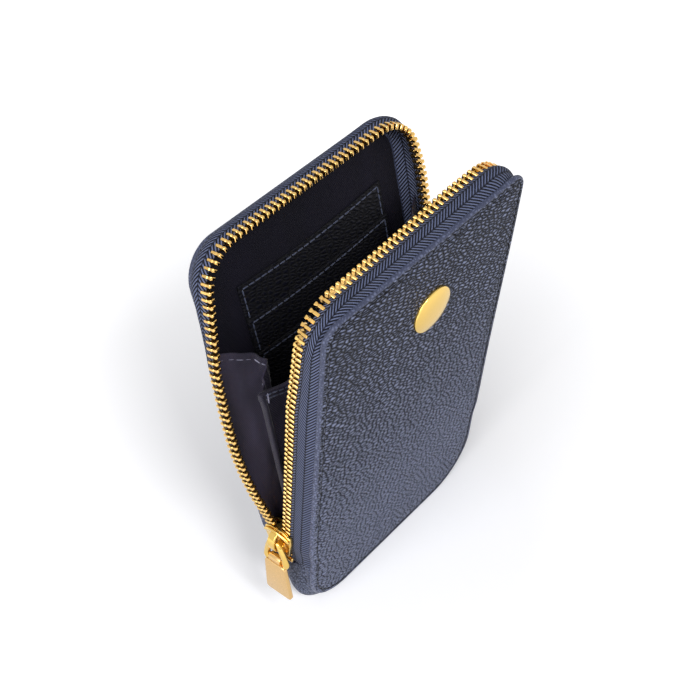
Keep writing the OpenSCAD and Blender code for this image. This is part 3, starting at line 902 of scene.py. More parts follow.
# %% [markdown]
# ## End stops
# A bent brass bar is clamped over both tapes where the chain ends at the foot, so the slider can't
# run off. The frame's own bar could show, but it stands off the narrower foot of the dressed cover.
# So a cube of the same size is put on the line of the teeth, its outer face is inset and drawn out,
# and its edges are rounded.

# %% End stops
def end_stop(which, sign):
    """Models one bar and gives how far from the middle it sits."""
    low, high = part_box(f"{which}_end_stop")
    lying = rim_place(np.array([(low.z + high.z) / 2 - FOLD_V]), CHAIN_OUT)
    x = -stand(np.array([[lying[0][0], lying[1][0], 0]]), FRONT)[0, 0]
    bpy.ops.mesh.primitive_cube_add(size=1, location=(x * sign, 0, (low.z + high.z) / 2))
    obj = bpy.context.object
    obj.scale = high - low
    obj = named(f"{which}_end_stop_clamp")
    pick_faces(obj, lambda c, n: n.x * sign > 0.9)
    bpy.ops.mesh.inset(thickness=0.5 * MM, depth=0)
    bpy.ops.transform.translate(value=(0.25 * MM * sign, 0, 0))
    leave()
    round_edges(obj, 0.22 * MM, sharper=0.3)
    smooth(outward(obj), 40)
    obj.data.materials.append(tooth_brass)
    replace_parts(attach(obj, "base"), f"{which}_end_stop")
    return x


for sign, which in ENDS.items():
    print(which, "end stop at", round(end_stop(which, sign) / MM, 2), "mm from the middle")

# %% [markdown]
# ## Top-stitching
# A lockstitch in navy thread runs in the groove round each cover, 2.7 mm inside its edge. A stitch
# is a small sphere drawn out lengthwise, with its ends sunk in the leather. A painted line would be
# quicker, but it would look flat in the groove. One stitch is modelled and copied at 3.4 mm.
# Polyester thread has a dull shine, with the twist of its yarn as a fine relief.

# %% Thread and one stitch
SEAM_IN, STITCH_PITCH, SMALL_PITCH = 2.7 * MM, 3.4 * MM, 3 * MM
TWIST = MM / 4


def thread(name, colour):
    material, tree, shader = new_material(name, {
        "Base Color": linear(colour), "Roughness": 0.55, "Sheen Weight": 0.2})
    place = add(tree, "ShaderNodeTexCoord")
    noise = add(tree, "ShaderNodeTexNoise", {"Scale": 1 / TWIST},
                {"Vector": place.outputs["Object"]})
    bump = add(tree, "ShaderNodeBump", {"Strength": 0.4, "Distance": 0.05 * MM},
               {"Height": noise.outputs[0]})
    tree.links.new(bump.outputs[0], shader.inputs["Normal"])
    return material


navy_thread = thread("Twisted polyester thread, navy", "#3d445c")
pale_thread = thread("Twisted polyester thread, grey violet", "#76758a")


def one_stitch(length, thick):
    """Sphere drawn out along x, with blunt ends."""
    bpy.ops.mesh.primitive_uv_sphere_add(segments=8, ring_count=6, radius=0.5)
    stitch = named("stitch")
    co = points_of(stitch)
    swell = np.sign(co[:, 2]) * np.abs(2 * co[:, 2]) ** 0.8 / 2
    set_points(stitch, np.stack([swell * length, co[:, 0] * thick, co[:, 1] * thick], 1))
    return smooth(outward(stitch), 80)


STITCH = one_stitch(2.7 * MM, 0.55 * MM)
print("stitch", [round(size / MM, 2) for size in STITCH.dimensions], "mm")


# %% Line of stitches round a cover
def cover_line(inset, radius):
    """Closed line inside a cover's edge, lying down."""
    quarter = np.linspace(0, math.pi / 2, 40)
    half, top, foot = COVER_W / 2, COVER_H - radius, BOTTOM_R
    corners = ((half - radius, top, radius, 0), (radius - half, top, radius, 1),
               (foot - half, foot, foot, 2), (half - foot, foot, foot, 3))
    line = [np.stack([x + (r - inset) * np.cos(quarter + turn * math.pi / 2),
                      v + (r - inset) * np.sin(quarter + turn * math.pi / 2)], 1)
            for x, v, r, turn in corners]
    line = np.concatenate(line + [line[0][:1]])
    return np.column_stack([line, np.zeros(len(line))])


def spaced(line, pitch, normal):
    """Evenly spaced places along a line, with directions along, across and out of the surface."""
    steps = np.linalg.norm(np.diff(line, axis=0), axis=1)
    length = np.concatenate([[0], np.cumsum(steps)])
    spots = np.arange(pitch / 2, length[-1], pitch)
    at = lambda s: np.stack([np.interp(s, length, line[:, i]) for i in range(3)], 1)
    along = at(spots + 0.2 * MM) - at(spots - 0.2 * MM)
    along /= np.linalg.norm(along, axis=1)[:, None]
    return [(spot, (way, np.cross(normal, way), normal)) for spot, way in zip(at(spots), along)]


def stitches(name, line, normal, material, pitch=SMALL_PITCH):
    """Row of stitches along a line on a surface that faces one way."""
    row = lay_copies(name, STITCH, spaced(np.asarray(line, float), pitch, np.array(normal, float)))
    row.data.materials.append(material)
    return row


# %% Cover stitches
for side, which in WHICH.items():
    line = cover_line(SEAM_IN, LEATHER_R[side]) + [0, 0, -0.2 * MM]
    row = stitches(f"{which}_cover_stitches", line, (0, 0, 1), navy_thread,
                   STITCH_PITCH)
    blend_at_fold(stand_up(row, side))
    print(which, "cover stitches:", len(row.data.vertices) // len(STITCH.data.vertices))

# %% [markdown]
# ## Base gusset
# One strip of the same leather closes the bottom between the covers. Its ends turn up the sides
# and are sewn over the ends of the zip tape. It could be bent with a modifier, but it has to meet
# both leaning covers, so a grid is wrapped round the bottom by formula. It is bellied a little at
# the ends, and its top edges are hollowed, as the strip is pulled in between the covers.

# %% Gusset leather
GUSSET_TOP, GUSSET_IN, GUSSET_T = 27.2 * MM, 1.2 * MM, 1.1 * MM
EDGE_R, BELLY_R, BELLY_OUT, EDGE_RISE = BOTTOM_R - GUSSET_IN, 9 * MM, 0.9, 5 * MM


def gusset_line(t, radius, inward=0):
    """Place x and height along the strip, with t from -1 at the left top to 1 at the right top."""
    flat, rise = COVER_W / 2 - radius - GUSSET_IN, GUSSET_TOP - radius - GUSSET_IN
    arc = radius * math.pi / 2
    way = abs(t) * (flat + arc + rise)
    turn = np.clip((way - flat) / arc, 0, 1) * math.pi / 2
    x = np.clip(way, 0, flat) + (radius - inward) * np.sin(turn)
    z = GUSSET_IN + radius - (radius - inward) * np.cos(turn) + np.clip(way - flat - arc, 0, None)
    return np.sign(t) * x, z


def gusset_place(t, share, inward=0):
    """Middle of the strip, which bellies out between the covers, at a share of its width."""
    belly = 1 - share ** 2
    x_edge, z_edge = gusset_line(t, EDGE_R, inward)
    x_mid, z_mid = gusset_line(t, BELLY_R, inward)
    x, z = x_edge + (x_mid - x_edge) * belly, z_edge + (z_mid - z_edge) * belly
    up_side = eased((z - 3 * MM) / (14 * MM))
    out = (BELLY_OUT * belly + 0.15 * np.sin(share * 13 + z * 300) * belly) * MM * up_side
    z = z + eased((z - 12 * MM) / (14 * MM)) * EDGE_RISE * abs(share) ** 1.6
    return (x + np.sign(x) * out) * (1 - FOOT_IN), share * wall_y(z, 0.9 * MM), z


def base_gusset():
    bpy.ops.mesh.primitive_grid_add(x_subdivisions=140, y_subdivisions=18, size=2)
    obj = named("base_gusset_leather")
    co = points_of(obj)
    set_points(obj, np.stack(gusset_place(co[:, 0], co[:, 1]), 1))
    apply(obj, "SOLIDIFY", thickness=GUSSET_T, offset=0)
    smooth(round_edges(outward(obj), 0.3 * MM), 50)
    obj.data.materials.append(end_leather)
    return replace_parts(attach(obj, "base"), "base_gusset")


gusset = base_gusset()
print("gusset strip:", len(gusset.data.polygons), "faces")

# %% Stitches of the gusset's ends
ROW_SHARE, ROW_OUT, row_way = 0.8, 0.6 * MM, np.linspace(0.75, 0.98, 14)
for side, which in ENDS.items():
    rows = []
    for share in (-ROW_SHARE, ROW_SHARE):
        line = np.stack(gusset_place(side * row_way, np.full(len(row_way), share)), 1)
        line[:, 0] += side * ROW_OUT
        rows.append(stitches(f"gusset_stitches {share}", line, (side, 0, 0), navy_thread))
    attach(join(f"{which}_gusset_stitches", rows), "base")
print("gusset strip width at its top:", round(2 * wall_y(GUSSET_TOP, 0.9 * MM) / MM, 1), "mm")

# %% [markdown]
# ## Slider
# The slider is cast in zinc and plated bright gold. Two plates with turned-in sides hold the teeth,
# a lip flares over its mouth, and an arched bridge stands on the outer plate. The frame's own solid
# gives the plates, because it already fits the teeth: its copy is merged and its edges are rounded.
# The lip and the bridge are strips bent from grids, thickened and rounded.

# %% Helpers for the fittings
def rounded_copy(node, name, width, segments):
    """Copy of one of the frame's solids, with its flat faces merged and its edges rounded."""
    obj = bpy.data.objects.new(name, frame["nodes"][node].data.copy())
    bpy.context.collection.objects.link(obj)
    obj.data.materials.clear()
    outward(obj)
    bpy.ops.object.mode_set(mode="EDIT")
    bpy.ops.mesh.select_all(action="SELECT")
    bpy.ops.mesh.dissolve_limited(angle_limit=0.03)
    leave()
    return smooth(round_edges(obj, width, segments, 0.6), 40)


def finish_metal(obj, body, node):
    obj.data.materials.append(gold_plate if body == "pull_tab" else bright_plate)
    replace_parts(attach(obj, body), node)
    return obj


def bent_strip(name, steps, across, place, thickness, edge):
    """Grid bent by place(t, u), with t along it and u across it from -1 to 1, and thickened."""
    bpy.ops.mesh.primitive_grid_add(x_subdivisions=steps, y_subdivisions=across, size=2)
    obj = named(name)
    co = points_of(obj)
    set_points(obj, np.stack(place((co[:, 0] + 1) / 2, co[:, 1]), 1))
    apply(obj, "SOLIDIFY", thickness=thickness, offset=0)
    return smooth(round_edges(outward(obj), edge, 3), 50)


print("gold fittings:", gold_plate.name, "on the tab, else", bright_plate.name)

# %% Slider body, lip and bridge
slider_low, slider_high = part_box("slider_body")
PLATE_X = -slider_low.x
PIVOT_Z = joints["link_swing"]["pos_m"][2]
PIVOT_X = -joints["link_swing"]["pos_m"][0]
PIN_Z = joints["tab_swing"]["pos_m"][2]
LIP_FLARE, LIP_DEPTH, LIP_DROOP, LIP_HALF = 1.7 * MM, 4.2 * MM, 3.0 * MM, 6.1 * MM
ARCH_OUT, ARCH_HALF, ARCH_REACH = 4.2 * MM, 1.6 * MM, 4.3 * MM


def lip_place(t, u):
    """Lip that flares at its top edge and droops toward both sides."""
    flare = (1 - t) ** 2 * LIP_FLARE * (1 - 0.35 * u * u)
    z = slider_high.z + 0.2 * MM - t * LIP_DEPTH - LIP_DROOP * u * u * (1 - 0.5 * t)
    return -PLATE_X + 0.4 * MM - flare, u * LIP_HALF * (1 - 0.12 * t), z


def arch_place(t, u):
    """Half round from above the link's pin to below it."""
    turn = math.pi * t
    x = PLATE_X - 0.5 * MM + ARCH_OUT * np.sin(turn) ** 0.75
    return -x, u * ARCH_HALF, PIVOT_Z + ARCH_REACH * np.cos(turn)


body = rounded_copy("slider_body", "slider_plates", 0.45 * MM, 3)
lip = bent_strip("slider_lip", 10, 24, lip_place, 0.9 * MM, 0.3 * MM)
finish_metal(join("slider", [body, lip]), "slider", "slider_body")
arch = bent_strip("slider_arch", 28, 8, arch_place, 1.0 * MM, 0.35 * MM)
finish_metal(arch, "slider", "slider_bridge")
print("slider", [round(v / MM, 1) for v in body.dimensions], "mm")

# %% [markdown]
# ## Link and pull tab
# The link is a closed stirrup: narrow where it hangs under the bridge, with thick legs that end in
# knobs, and a thin pin between them for the tab. It starts as a torus, because that is already a
# closed ring without a seam. The ring is laid along the stirrup's line, and its thickness changes
# on the way. The tab is a plain plate in satin gold, a little wider at the bottom, with a tube at
# its top. Plate and tube are two simple pieces, joined.

# %% Link
LINK_LINE = ((0, 0, 0.9), (1.4, -0.1, 0.9), (2.6, -1.6, 1.1), (3.6, -4.4, 1.2), (4.4, -7.2, 1.2),
             (4.75, -9.6, 1.4), (4.3, -11.0, 1.35), (3.5, -9.9, 0.9), (2.9, -9.2, 0.6),
             (0, -9.2, 0.6))


def link():
    """Lays a torus along the line of (across, up, thickness) in mm, from half of it mirrored."""
    right_half = np.array(LINK_LINE)
    loop = np.concatenate([right_half, right_half[-2:0:-1] * [-1, 1, 1]])
    loop = np.concatenate([loop, loop[:1]])
    steps = np.linalg.norm(np.diff(loop[:, :2], axis=0), axis=1)
    length = np.concatenate([[0], np.cumsum(steps)]) / steps.sum()
    bpy.ops.mesh.primitive_torus_add(major_segments=112, minor_segments=14, major_radius=1,
                                     minor_radius=0.25)
    obj = named("link")
    co = points_of(obj)
    share = (np.arctan2(co[:, 1], co[:, 0]) / (2 * math.pi)) % 1
    ring = np.hypot(co[:, 0], co[:, 1]) - 1
    angle = np.arctan2(co[:, 2], ring)
    blur = np.linspace(-0.012, 0.012, 7)
    at = lambda s, i: np.mean([np.interp((s + b) % 1, length, loop[:, i]) for b in blur], axis=0)
    y, z, radius = (at(share, i) * MM for i in range(3))
    way = np.stack([at(share + 0.004, 0) - at(share - 0.004, 0),
                    at(share + 0.004, 1) - at(share - 0.004, 1)], 1)
    way /= np.linalg.norm(way, axis=1)[:, None]
    y = y + radius * np.cos(angle) * way[:, 1]
    z = z - radius * np.cos(angle) * way[:, 0]
    x = -PIVOT_X + radius * 0.95 * np.sin(angle)
    set_points(obj, np.stack([x, y, PIVOT_Z + z], 1))
    return smooth(outward(obj), 80)


stirrup = finish_metal(link(), "pull_link", "pull_link")
print("link", [round(v / MM, 1) for v in stirrup.dimensions], "mm")


# %% Pull tab
TAB_T, TAB_TOP_W, TAB_LOW_W = 1.6 * MM, 10.0, 12.6


def pull_tab():
    bpy.ops.mesh.primitive_cylinder_add(vertices=36, radius=1.7 * MM, depth=5.6 * MM,
                                        end_fill_type="NOTHING",
                                        location=(-PIVOT_X, 0, PIN_Z), rotation=(math.pi / 2, 0, 0))
    tube = named("tube")
    apply(tube, "SOLIDIFY", thickness=0.95 * MM, offset=-1)
    round_edges(outward(tube), 0.2 * MM)
    bpy.ops.mesh.primitive_cube_add(size=1)
    plate = named("plate")
    co = points_of(plate)
    top, bottom = PIN_Z - 1.5 * MM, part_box("pull_tab")[0].z - 0.3 * MM
    is_top = co[:, 2] > 0
    half = np.where(is_top, TAB_TOP_W, TAB_LOW_W) / 2 * MM
    set_points(plate, np.stack([-PIVOT_X - 0.85 * MM + co[:, 0] * TAB_T, co[:, 1] * 2 * half,
                                np.where(is_top, top, bottom)], 1))
    for end_z, radius in ((bottom, 1.6 * MM), (top, 1.9 * MM)):
        edit(plate, "EDGE")
        for edge in plate.data.edges:
            a, b = (plate.data.vertices[i].co for i in edge.vertices)
            edge.select = abs(a.x - b.x) > MM and abs(min(a.z, b.z) - end_z) < 0.1 * MM
        bpy.ops.object.mode_set(mode="EDIT")
        bpy.ops.mesh.bevel(offset=radius, segments=6)
        leave()
    round_edges(outward(plate), 0.35 * MM, 3)
    return smooth(join("tab", [plate, tube]), 40)


tab = finish_metal(pull_tab(), "pull_tab", "pull_tab")
print("tab", [round(v / MM, 1) for v in tab.dimensions], "mm")

# %% [markdown]
# ## Ornament
# A plain domed disc is riveted through the front. It is pressed from brass and gold plated. A
# squashed sphere would have a sharp edge, so a cylinder's face is bevelled at its edge, and insets
# raise it step by step into a shallow dome.

# %% Ornament
DOME_STEPS = ((0.8, 0.28), (1.0, 0.26), (1.2, 0.22), (1.4, 0.16), (1.6, 0.1), (1.6, 0.03))


def ornament():
    stud_low, stud_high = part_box("front_stud")
    radius = (stud_high.x - stud_low.x) / 2
    v = (stud_low.z + stud_high.z) / 2 / math.cos(LEAN) - 0.2 * MM
    bpy.ops.mesh.primitive_cylinder_add(vertices=72, radius=radius, depth=2.4 * MM,
                                        location=((stud_low.x + stud_high.x) / 2, v, 0.2 * MM))
    obj = named("ornament")
    pick_faces(obj, lambda c, n: n.z > 0.9)
    bpy.ops.mesh.bevel(offset=0.5 * MM, segments=4, affect="EDGES")
    leave()
    pick_faces(obj, lambda c, n: n.z > 0.99)
    for width, rise in DOME_STEPS:
        bpy.ops.mesh.inset(thickness=width * MM, depth=rise * MM)
    leave()
    smooth(outward(obj), 40)
    return finish_metal(stand_up(obj, FRONT), "front_cover", "front_stud")


badge = ornament()
print("ornament", [round(v / MM, 1) for v in badge.dimensions], "mm")

# %% [markdown]
# ## Inside cloths
# The covers and the base are lined with a dark cotton twill. The divider and the folding sides of
# the back compartment are satin, which has a soft sheen along its threads, while twill stays dull.
# Both get a fine weave in the bump, 0.5 mm between threads, coarser than the real one so that it
# shows. A long soft noise gives the pull of the cloth, in the bump and as a slight change of tone
# that paints a sheen along the folds.

# %% Cloth materials
FOLD_GAP, WAVE_REPEAT = MM / 0.09, 0.314


def cloth(name, dark, light, roughness, sheen, pitch):
    """Dyed cloth. A wave texture repeats every 0.314 m at scale 1, so the pitch sets its scale."""
    material, tree, shader = new_material(name, {
        "Roughness": roughness, "Specular IOR Level": 0.2, "Sheen Weight": sheen,
        "Sheen Roughness": 0.35})
    place = add(tree, "ShaderNodeTexCoord")
    turned = add(tree, "ShaderNodeMapping", {"Rotation": (0.6, 0.0, 0.8)},
                 {"Vector": place.outputs["Object"]})
    ribs = add(tree, "ShaderNodeTexWave", {"Scale": WAVE_REPEAT / pitch, "Distortion": 1.0},
               {"Vector": turned.outputs[0]})
    drawn = add(tree, "ShaderNodeMapping", {"Scale": (1, 1, 0.3)},
                {"Vector": place.outputs["Object"]})
    folds = add(tree, "ShaderNodeTexNoise", {"Scale": 1 / FOLD_GAP, "Detail": 3.0},
                {"Vector": drawn.outputs[0]})
    height = add(tree, "ShaderNodeMath", {"operation": "MULTIPLY_ADD", 1: 8.0 + 90 * sheen},
                 {0: folds.outputs[0], 2: ribs.outputs["Fac"]})
    bump = add(tree, "ShaderNodeBump", {"Strength": 0.6, "Distance": 0.2 * MM},
               {"Height": height.outputs[0]})
    tree.links.new(bump.outputs[0], shader.inputs["Normal"])
    # Painted sheen: the tone grows lighter where the fold noise is high.
    painted_fold_sheen = add(tree, "ShaderNodeMapRange", {"From Min": 0.32, "From Max": 0.68},
                 {"Value": folds.outputs[0]})
    tint = add(tree, "ShaderNodeMix",
               {"data_type": "RGBA", "A": linear(dark), "B": linear(light)},
               {"Factor": painted_fold_sheen.outputs[0]})
    tree.links.new(tint.outputs["Result"], shader.inputs["Base Color"])
    return material


# The second colour of each cloth is the painted sheen on its folds.
twill = cloth("Cotton twill lining, near black", "#0a0914", "#100e1c", 0.8, 0.03, 0.5 * MM)
satin = cloth("Polyester satin, dark violet", "#1e1c28", "#363244", 0.38, 0.15, 0.5 * MM)
print("cloths:", twill.name, "and", satin.name)


# %% Helpers for sheets
def as_sheet(obj, wide, held, rests_on, with_pieces=()):
    """Takes away the flat area that cloth_grid stored on a sheet. Its other arguments, such as
    wide, the flat size that it was cut to, are not used.
    """
    del obj["flat_area"]
    return obj


def cloth_grid(name, steps, rows, place, thickness):
    """Sheet bent by place(a, b), with a and b from 0 to 1, and thickened both ways."""
    bpy.ops.mesh.primitive_grid_add(x_subdivisions=steps, y_subdivisions=rows, size=1)
    obj = named(name)
    co = points_of(obj)
    set_points(obj, np.stack(place(co[:, 0] + 0.5, co[:, 1] + 0.5), 1))
    area = sum(face.area for face in obj.data.polygons)
    apply(obj, "SOLIDIFY", thickness=thickness, offset=0)
    smooth(round_edges(outward(obj), thickness * 0.35), 60)
    obj["flat_area"] = area
    return obj


print("helpers for sheets:", cloth_grid.__name__, "and", as_sheet.__name__)

# %% [markdown]
# ## Cover linings
# Each cover's lining is one rectangle of twill with round top corners, glued on the board. A flat
# plane would do from afar, but a grid can carry the faint ripples of glued cloth, and those give
# the dark inside some life.

# %% Cover linings
LINING_W, LINING_TOP, LINING_R = COVER_W - 4 * MM, COVER_H - 2 * MM, 13 * MM


def lining_place(a, b):
    v = FOLD_V + 0.6 * MM + b * (LINING_TOP - FOLD_V - 0.6 * MM)
    over = np.clip(v - (LINING_TOP - LINING_R), 0, LINING_R)
    half = LINING_W / 2 - LINING_R + np.sqrt(LINING_R ** 2 - over ** 2)
    x = (2 * a - 1) * half
    ripple = 0.12 * MM * np.sin(x * 160 + 2) * np.sin(v * 120)
    ripple = ripple + 0.08 * MM * np.sin(v * 300 + x * 90)
    return x, v, -COVER_T - LINING / 2 - 0.1 * MM + ripple


for side, which in WHICH.items():
    lining = stand_up(cloth_grid(f"{which}_cover_lining", 40, 60, lining_place, LINING), side)
    lining.data.materials.append(twill)
    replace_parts(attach(lining, f"{which}_cover"), f"{which}_lining")
    as_sheet(lining, LINING_W, "laid", [f"{which}_cover_leather"])
    print(which, "lining laid")


# %% [markdown]
# ## Base lining
# The same twill lies in the base, over the board and up the inside of the strip's ends. The frame's
# own lining is straight, and the leather strip is bellied. So a new one is laid on the strip's own
# line, a little inside it, and hides behind the leather from outside.

# %% Base lining
BASE_LINING_END, BASE_LINING_WIDE = 0.94, 0.97
BASE_LINING_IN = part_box("base_lining")[0].z + LINING / 2 - GUSSET_IN


def base_lining_place(a, b):
    return gusset_place((2 * a - 1) * BASE_LINING_END, (2 * b - 1) * BASE_LINING_WIDE,
                        BASE_LINING_IN)


base_lining = cloth_grid("base_lining_cloth", 120, 14, base_lining_place, LINING)
base_lining.data.materials.append(twill)
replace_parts(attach(base_lining, "base"), "base_lining")
as_sheet(base_lining, 2 * wall_y(12 * MM, 0), "laid", ["base_board", "base_gusset_leather"])
print("base lining laid", round(BASE_LINING_IN / MM, 2), "mm inside the strip")

# %% [markdown]
# ## Folding sides
# Each end of the back compartment is closed by a satin side, folded inward like a bellows. It is a
# grid from the divider to the back tape with one soft crease, and small wrinkles where the cloth is
# sewn in. A cloth simulation could find the folds, but a formula gives the same fold on each run.
# A hem is stitched along its top.

# %% Folding sides of the back compartment
SIDE_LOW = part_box("left_side_gusset")[0]
CREASE, HEM_D, FOLD_IN, SIDE_W = 0.4, 3.4 * MM, 10.5 * MM, 36 * MM
DIVIDER_EDGE = ((0, 46.2), (60, 47), (70, 47.8), (90, 49.4), (110, 50.7), (119, 52))
HALF_TOP = DIVIDER_EDGE[-1][1] * MM
SIDE_TOP = ((0, 117.4), (0.2, 118.5), (0.4, 120.8), (0.7, 124), (1, 127.5))


def divider_half(z):
    return np.interp(z / MM, *zip(*DIVIDER_EDGE)) * MM


def side_place(side):
    """Place on a folding side, with a from the divider to the tape and b from foot to top."""
    def place(a, b):
        top = np.interp(a, *zip(*SIDE_TOP)) * MM
        z = SIDE_LOW.z + b * (top - SIDE_LOW.z)
        run = z / math.cos(LEAN) - FOLD_V
        tape = stand(tape_point(run if side < 0 else RUN_ALL - run, 0.62, BACK), BACK)
        front_x = np.minimum(divider_half(z) - 0.6 * MM, 49.4 * MM)
        back_x = np.minimum(abs(tape[:, 0]) - 1.1 * MM, 53.5 * MM)
        fold_x = front_x - FOLD_IN * eased((z - SIDE_LOW.z) / (80 * MM))
        first, second = np.clip(a / CREASE, 0, 1), np.clip((a - CREASE) / (1 - CREASE), 0, 1)
        x = front_x + (fold_x - front_x) * first ** 1.2 + (back_x - fold_x) * second
        x = x - 2.5 * MM * np.sin(math.pi * second) * eased(b * 1.5)
        y = SIDE_LOW.y + a * (tape[:, 1] - SIDE_LOW.y)
        wrinkle = np.sin(a * 26 + z * 60) * np.sin(z * 210 + 1) * 0.4
        wrinkle = wrinkle + np.sin(z * 95 + a * 9) * 0.4
        ruffle = 0.7 * np.sin(a * 36) * (a < CREASE) * eased((b - 0.7) / 0.3)
        hem = 0.35 * eased((b * (top - SIDE_LOW.z) - (top - SIDE_LOW.z - HEM_D)) / (0.8 * MM))
        x = x + (wrinkle + ruffle + hem) * MM * np.sin(math.pi * a) ** 0.5
        return side * x, y, z
    return place


# %% Left and right folding side
for side, which in ENDS.items():
    place = side_place(side)
    sheet = cloth_grid(f"{which}_folding_side", 48, 110, place, 0.5 * MM)
    sheet.data.materials.append(satin)
    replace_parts(sheet, f"{which}_side_gusset")
    a = np.linspace(0.02, 0.98, 60)
    seam = np.stack(place(a, np.full(60, 0.974)), 1)
    seam[:, 0] += side * 0.3 * MM
    row = stitches(f"{which}_side_stitches", seam, (side, 0, 0), pale_thread)
    for piece in (sheet, row):
        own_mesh(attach(piece, "base"))
    as_sheet(sheet, SIDE_W, "folded", ["back_cover_lining", "divider"], [row])
print("folding sides rise from", round(SIDE_LOW.z / MM, 1), "to", SIDE_TOP[-1][1], "mm")

# %% [markdown]
# ## Divider
# A stiffened satin panel divides the pouch. Its top edge hangs lower between the corners, and a hem
# is folded over it. A narrow binding runs down both its sides. The panel is a grid with a slight
# wave, and the hem and bindings are wider strips over its edges. They are pieces of their own,
# because a fold in the panel itself would be too thin to show its thickness.

# %% Lines of the divider
DIVIDER_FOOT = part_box("centre_divider")[0].z + 0.2 * MM
HEM_TOP, HEM_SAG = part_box("divider_hem")[1].z, 3.8 * MM


def divider_top(x):
    return HEM_TOP - HEM_SAG * eased((HALF_TOP - abs(x)) / (14 * MM))


def divider_wave(x):
    return 0.5 * MM * np.sin(x * 75 + 0.5)


def loose(z):
    """0 where the divider is held, low down, and 1 at its top, where it waves freely."""
    return eased((z - 70 * MM) / (50 * MM))


def divider_place(a, b):
    foot, z_low = DIVIDER_FOOT, BOTTOM_R - 2 * MM
    share = 2 * a - 1
    z = foot + b * (divider_top(share * HALF_TOP) - 0.6 * MM - foot)
    x = share * divider_half(z)
    narrow = np.clip(z_low - z, 0, z_low) / z_low
    x = x * (1 - 0.4 * narrow ** 2)
    return x, divider_wave(x) * loose(z), z


def hem_place(a, b):
    x = (2 * a - 1) * (HALF_TOP + 0.2 * MM)
    return x, divider_wave(x), divider_top(x) - HEM_D + b * HEM_D


def binding_place(side):
    def place(a, b):
        z = BOTTOM_R + b * (HEM_TOP - 0.4 * MM - BOTTOM_R)
        x = side * (divider_half(z) + 0.3 * MM - a * 2 * MM)
        return x, divider_wave(x) * loose(z), z
    return place


print("divider is", round(2 * HALF_TOP / MM, 1), "mm wide at its top")

# %% Divider, hem and bindings
divider = cloth_grid("divider", 60, 70, divider_place, 1.1 * MM)
hem = cloth_grid("divider_hem_fold", 70, 5, hem_place, 1.9 * MM)
bindings = [cloth_grid(f"divider_{which}_binding", 3, 60, binding_place(side), 2.2 * MM)
            for side, which in ENDS.items()]
for piece in (divider, hem, *bindings):
    piece.data.materials.append(satin)
    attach(piece, "base")
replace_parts(divider, "centre_divider")
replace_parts(hem, "divider_hem")
print("hem and bindings:", 1 + len(bindings), "strips")

# %% Stitches of the hem
seams, HEM_HALF, TACK_X, TACK_PITCH = [], 0.95, 49.2, 0.7 * MM
x = np.linspace(-50.2, 50.2, 80) * MM
for side in (-1, 1):
    for drop in (1.0, 2.7):
        y = divider_wave(x) + side * HEM_HALF * MM
        line = np.stack([x, y, divider_top(x) - drop * MM], 1)
        seams.append(stitches(f"hem {side} {drop}", line, (0, side, 0), navy_thread))
    for end in (-1, 1):
        up = np.linspace(114.5, 117.5, 4)
        tack = np.array([[end * TACK_X, side * HEM_HALF, t] for t in up]) * MM
        seams.append(stitches(f"tack {side} {end}", tack, (0, side, 0), pale_thread,
                              TACK_PITCH))
hem_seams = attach(join("divider_stitches", seams), "base")
for piece in (divider, hem, *bindings, hem_seams):
    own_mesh(piece)
for piece in (hem, *bindings):
    del piece["flat_area"]
as_sheet(divider, 2 * HALF_TOP, "stretched", ["base_lining_cloth"], [hem, *bindings, hem_seams])
heights = [round(float(z) / MM, 1) for z in (HEM_TOP, divider_top(0.0))]
print("divider's hem falls from", heights[0], "to", heights[1], "mm")

# %% [markdown]
# ## Card slots
# Three leather layers are sewn on the back cover's lining, each one lower and further forward.
# Their top edges are turned and stitched, and sag a little in the middle from use. Each layer runs
# down behind the next one, as in a real pocket, so no false edge can show between them.

# %% Card slots
SLOT_NODES = ("card_slot_top", "card_slot_middle", "card_slot_lower")
SLOT_T, SLOT_DEPTH, SLOT_STEP = 0.8 * MM, COVER_T + LINING, 13.8 * MM
SLOT_SAG, SLOT_SEAM = 1.6 * MM, 1.6 * MM


def slot_edge(top, left, right, x):
    middle, half = (left + right) / 2, (right - left) / 2
    return top - SLOT_SAG * (1 - ((x - middle) / half) ** 2)


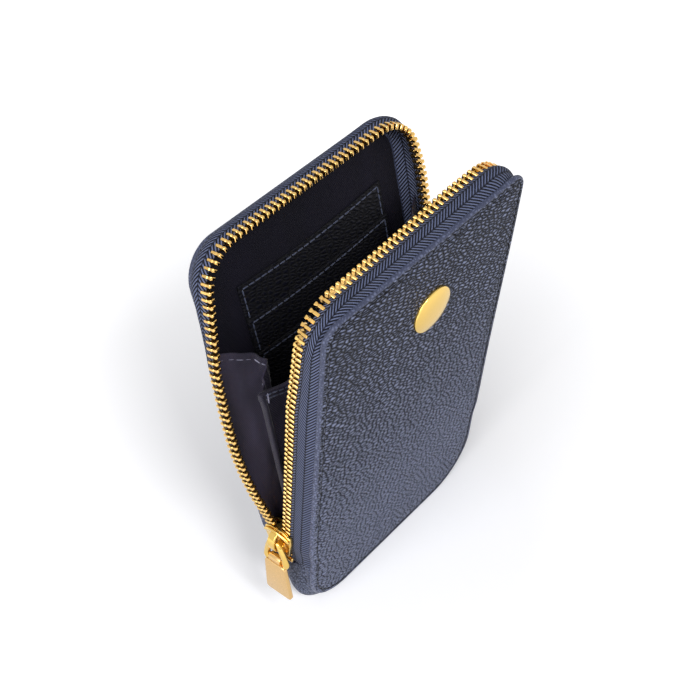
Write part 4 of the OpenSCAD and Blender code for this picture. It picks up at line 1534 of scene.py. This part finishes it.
def card_slot(number, node):
    low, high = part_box(node)
    depth = SLOT_DEPTH + (number + 0.5) * SLOT_T + 0.1 * MM
    lift = depth * math.sin(LEAN)
    top, foot = (high.z - lift) / math.cos(LEAN), (low.z - lift) / math.cos(LEAN)

    def place(a, b):
        x = low.x + a * (high.x - low.x)
        v = foot + b * (slot_edge(top, low.x, high.x, x) - foot)
        belly = 0.3 * MM * np.sin(math.pi * a) * np.sin(math.pi * b)
        return x, v, -depth - belly

    sheet = cloth_grid(f"{node}_leather", 36, 44, place, SLOT_T)
    x = np.linspace(low.x + SLOT_SEAM, high.x - SLOT_SEAM, 60)
    v = slot_edge(top, low.x, high.x, x) - SLOT_SEAM
    out = -depth - SLOT_T / 2 - 0.05 * MM
    next_top = max(foot, top - SLOT_STEP)
    belly_out = 0.15 * MM * np.sin(math.pi * np.linspace(0, 1, 60)) ** 2
    lines = [np.stack([x, v, out - belly_out], 1)]
    for end in (x[0], x[-1]):
        lines.append(np.array([[end, t, out] for t in np.linspace(next_top, v[0], 12)]))
    rows = [stitches(f"{node} {i}", line, (0, 0, -1), navy_thread)
            for i, line in enumerate(lines)]
    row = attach(stand_up(join(f"{node}_stitches", rows), BACK), "back_cover")
    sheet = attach(stand_up(sheet, BACK), "back_cover")
    sheet.data.materials.append(slot_leather)
    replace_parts(sheet, node)
    return as_sheet(sheet, high.x - low.x, "laid", ["back_cover_lining"], [row])


for number, node in enumerate(SLOT_NODES):
    card_slot(number, node)
bpy.data.objects.remove(STITCH)
print("card slots:", len(SLOT_NODES))

# %% [markdown]
# ## Hidden parts
# The boards and the washer behind the ornament stay as the frame's own solids, because nobody sees
# them unless the pouch is taken apart. They only get the finish of what they are made of: pressed
# brown fibre board, dull and specked with its fibres, and zinc-plated steel, a cool soft grey.

# %% Board and steel
FIBRE_GAP = MM / 0.7


def board(name, fibre, pulp):
    material, tree, shader = new_material(name, {"Roughness": 0.9})
    place = add(tree, "ShaderNodeTexCoord")
    fibres = add(tree, "ShaderNodeTexNoise", {"Scale": 1 / FIBRE_GAP, "Detail": 5.0},
                 {"Vector": place.outputs["Object"]})
    tint = add(tree, "ShaderNodeMix",
               {"data_type": "RGBA", "A": linear(fibre), "B": linear(pulp)},
               {"Factor": fibres.outputs[0]})
    tree.links.new(tint.outputs["Result"], shader.inputs["Base Color"])
    return material


brown_board = board("Pressed fibre board", "#8a7358", "#6b563e")
steel = brass("Zinc-plated steel", "#c3c6cb", 0.35, 0.4 * MM)
FINISHES = {"front_board": brown_board, "back_board": brown_board, "base_board": brown_board,
            "stud_washer": steel}
for node, material in FINISHES.items():
    solid = frame["nodes"][node]
    solid.data.materials.clear()
    solid.data.materials.append(material)
bare = [name for name, solid in frame["nodes"].items()
        if not solid.hide_render and name not in FINISHES]
print("solids still shown without a finish of their own:", bare)

# %% [markdown]
# ## End
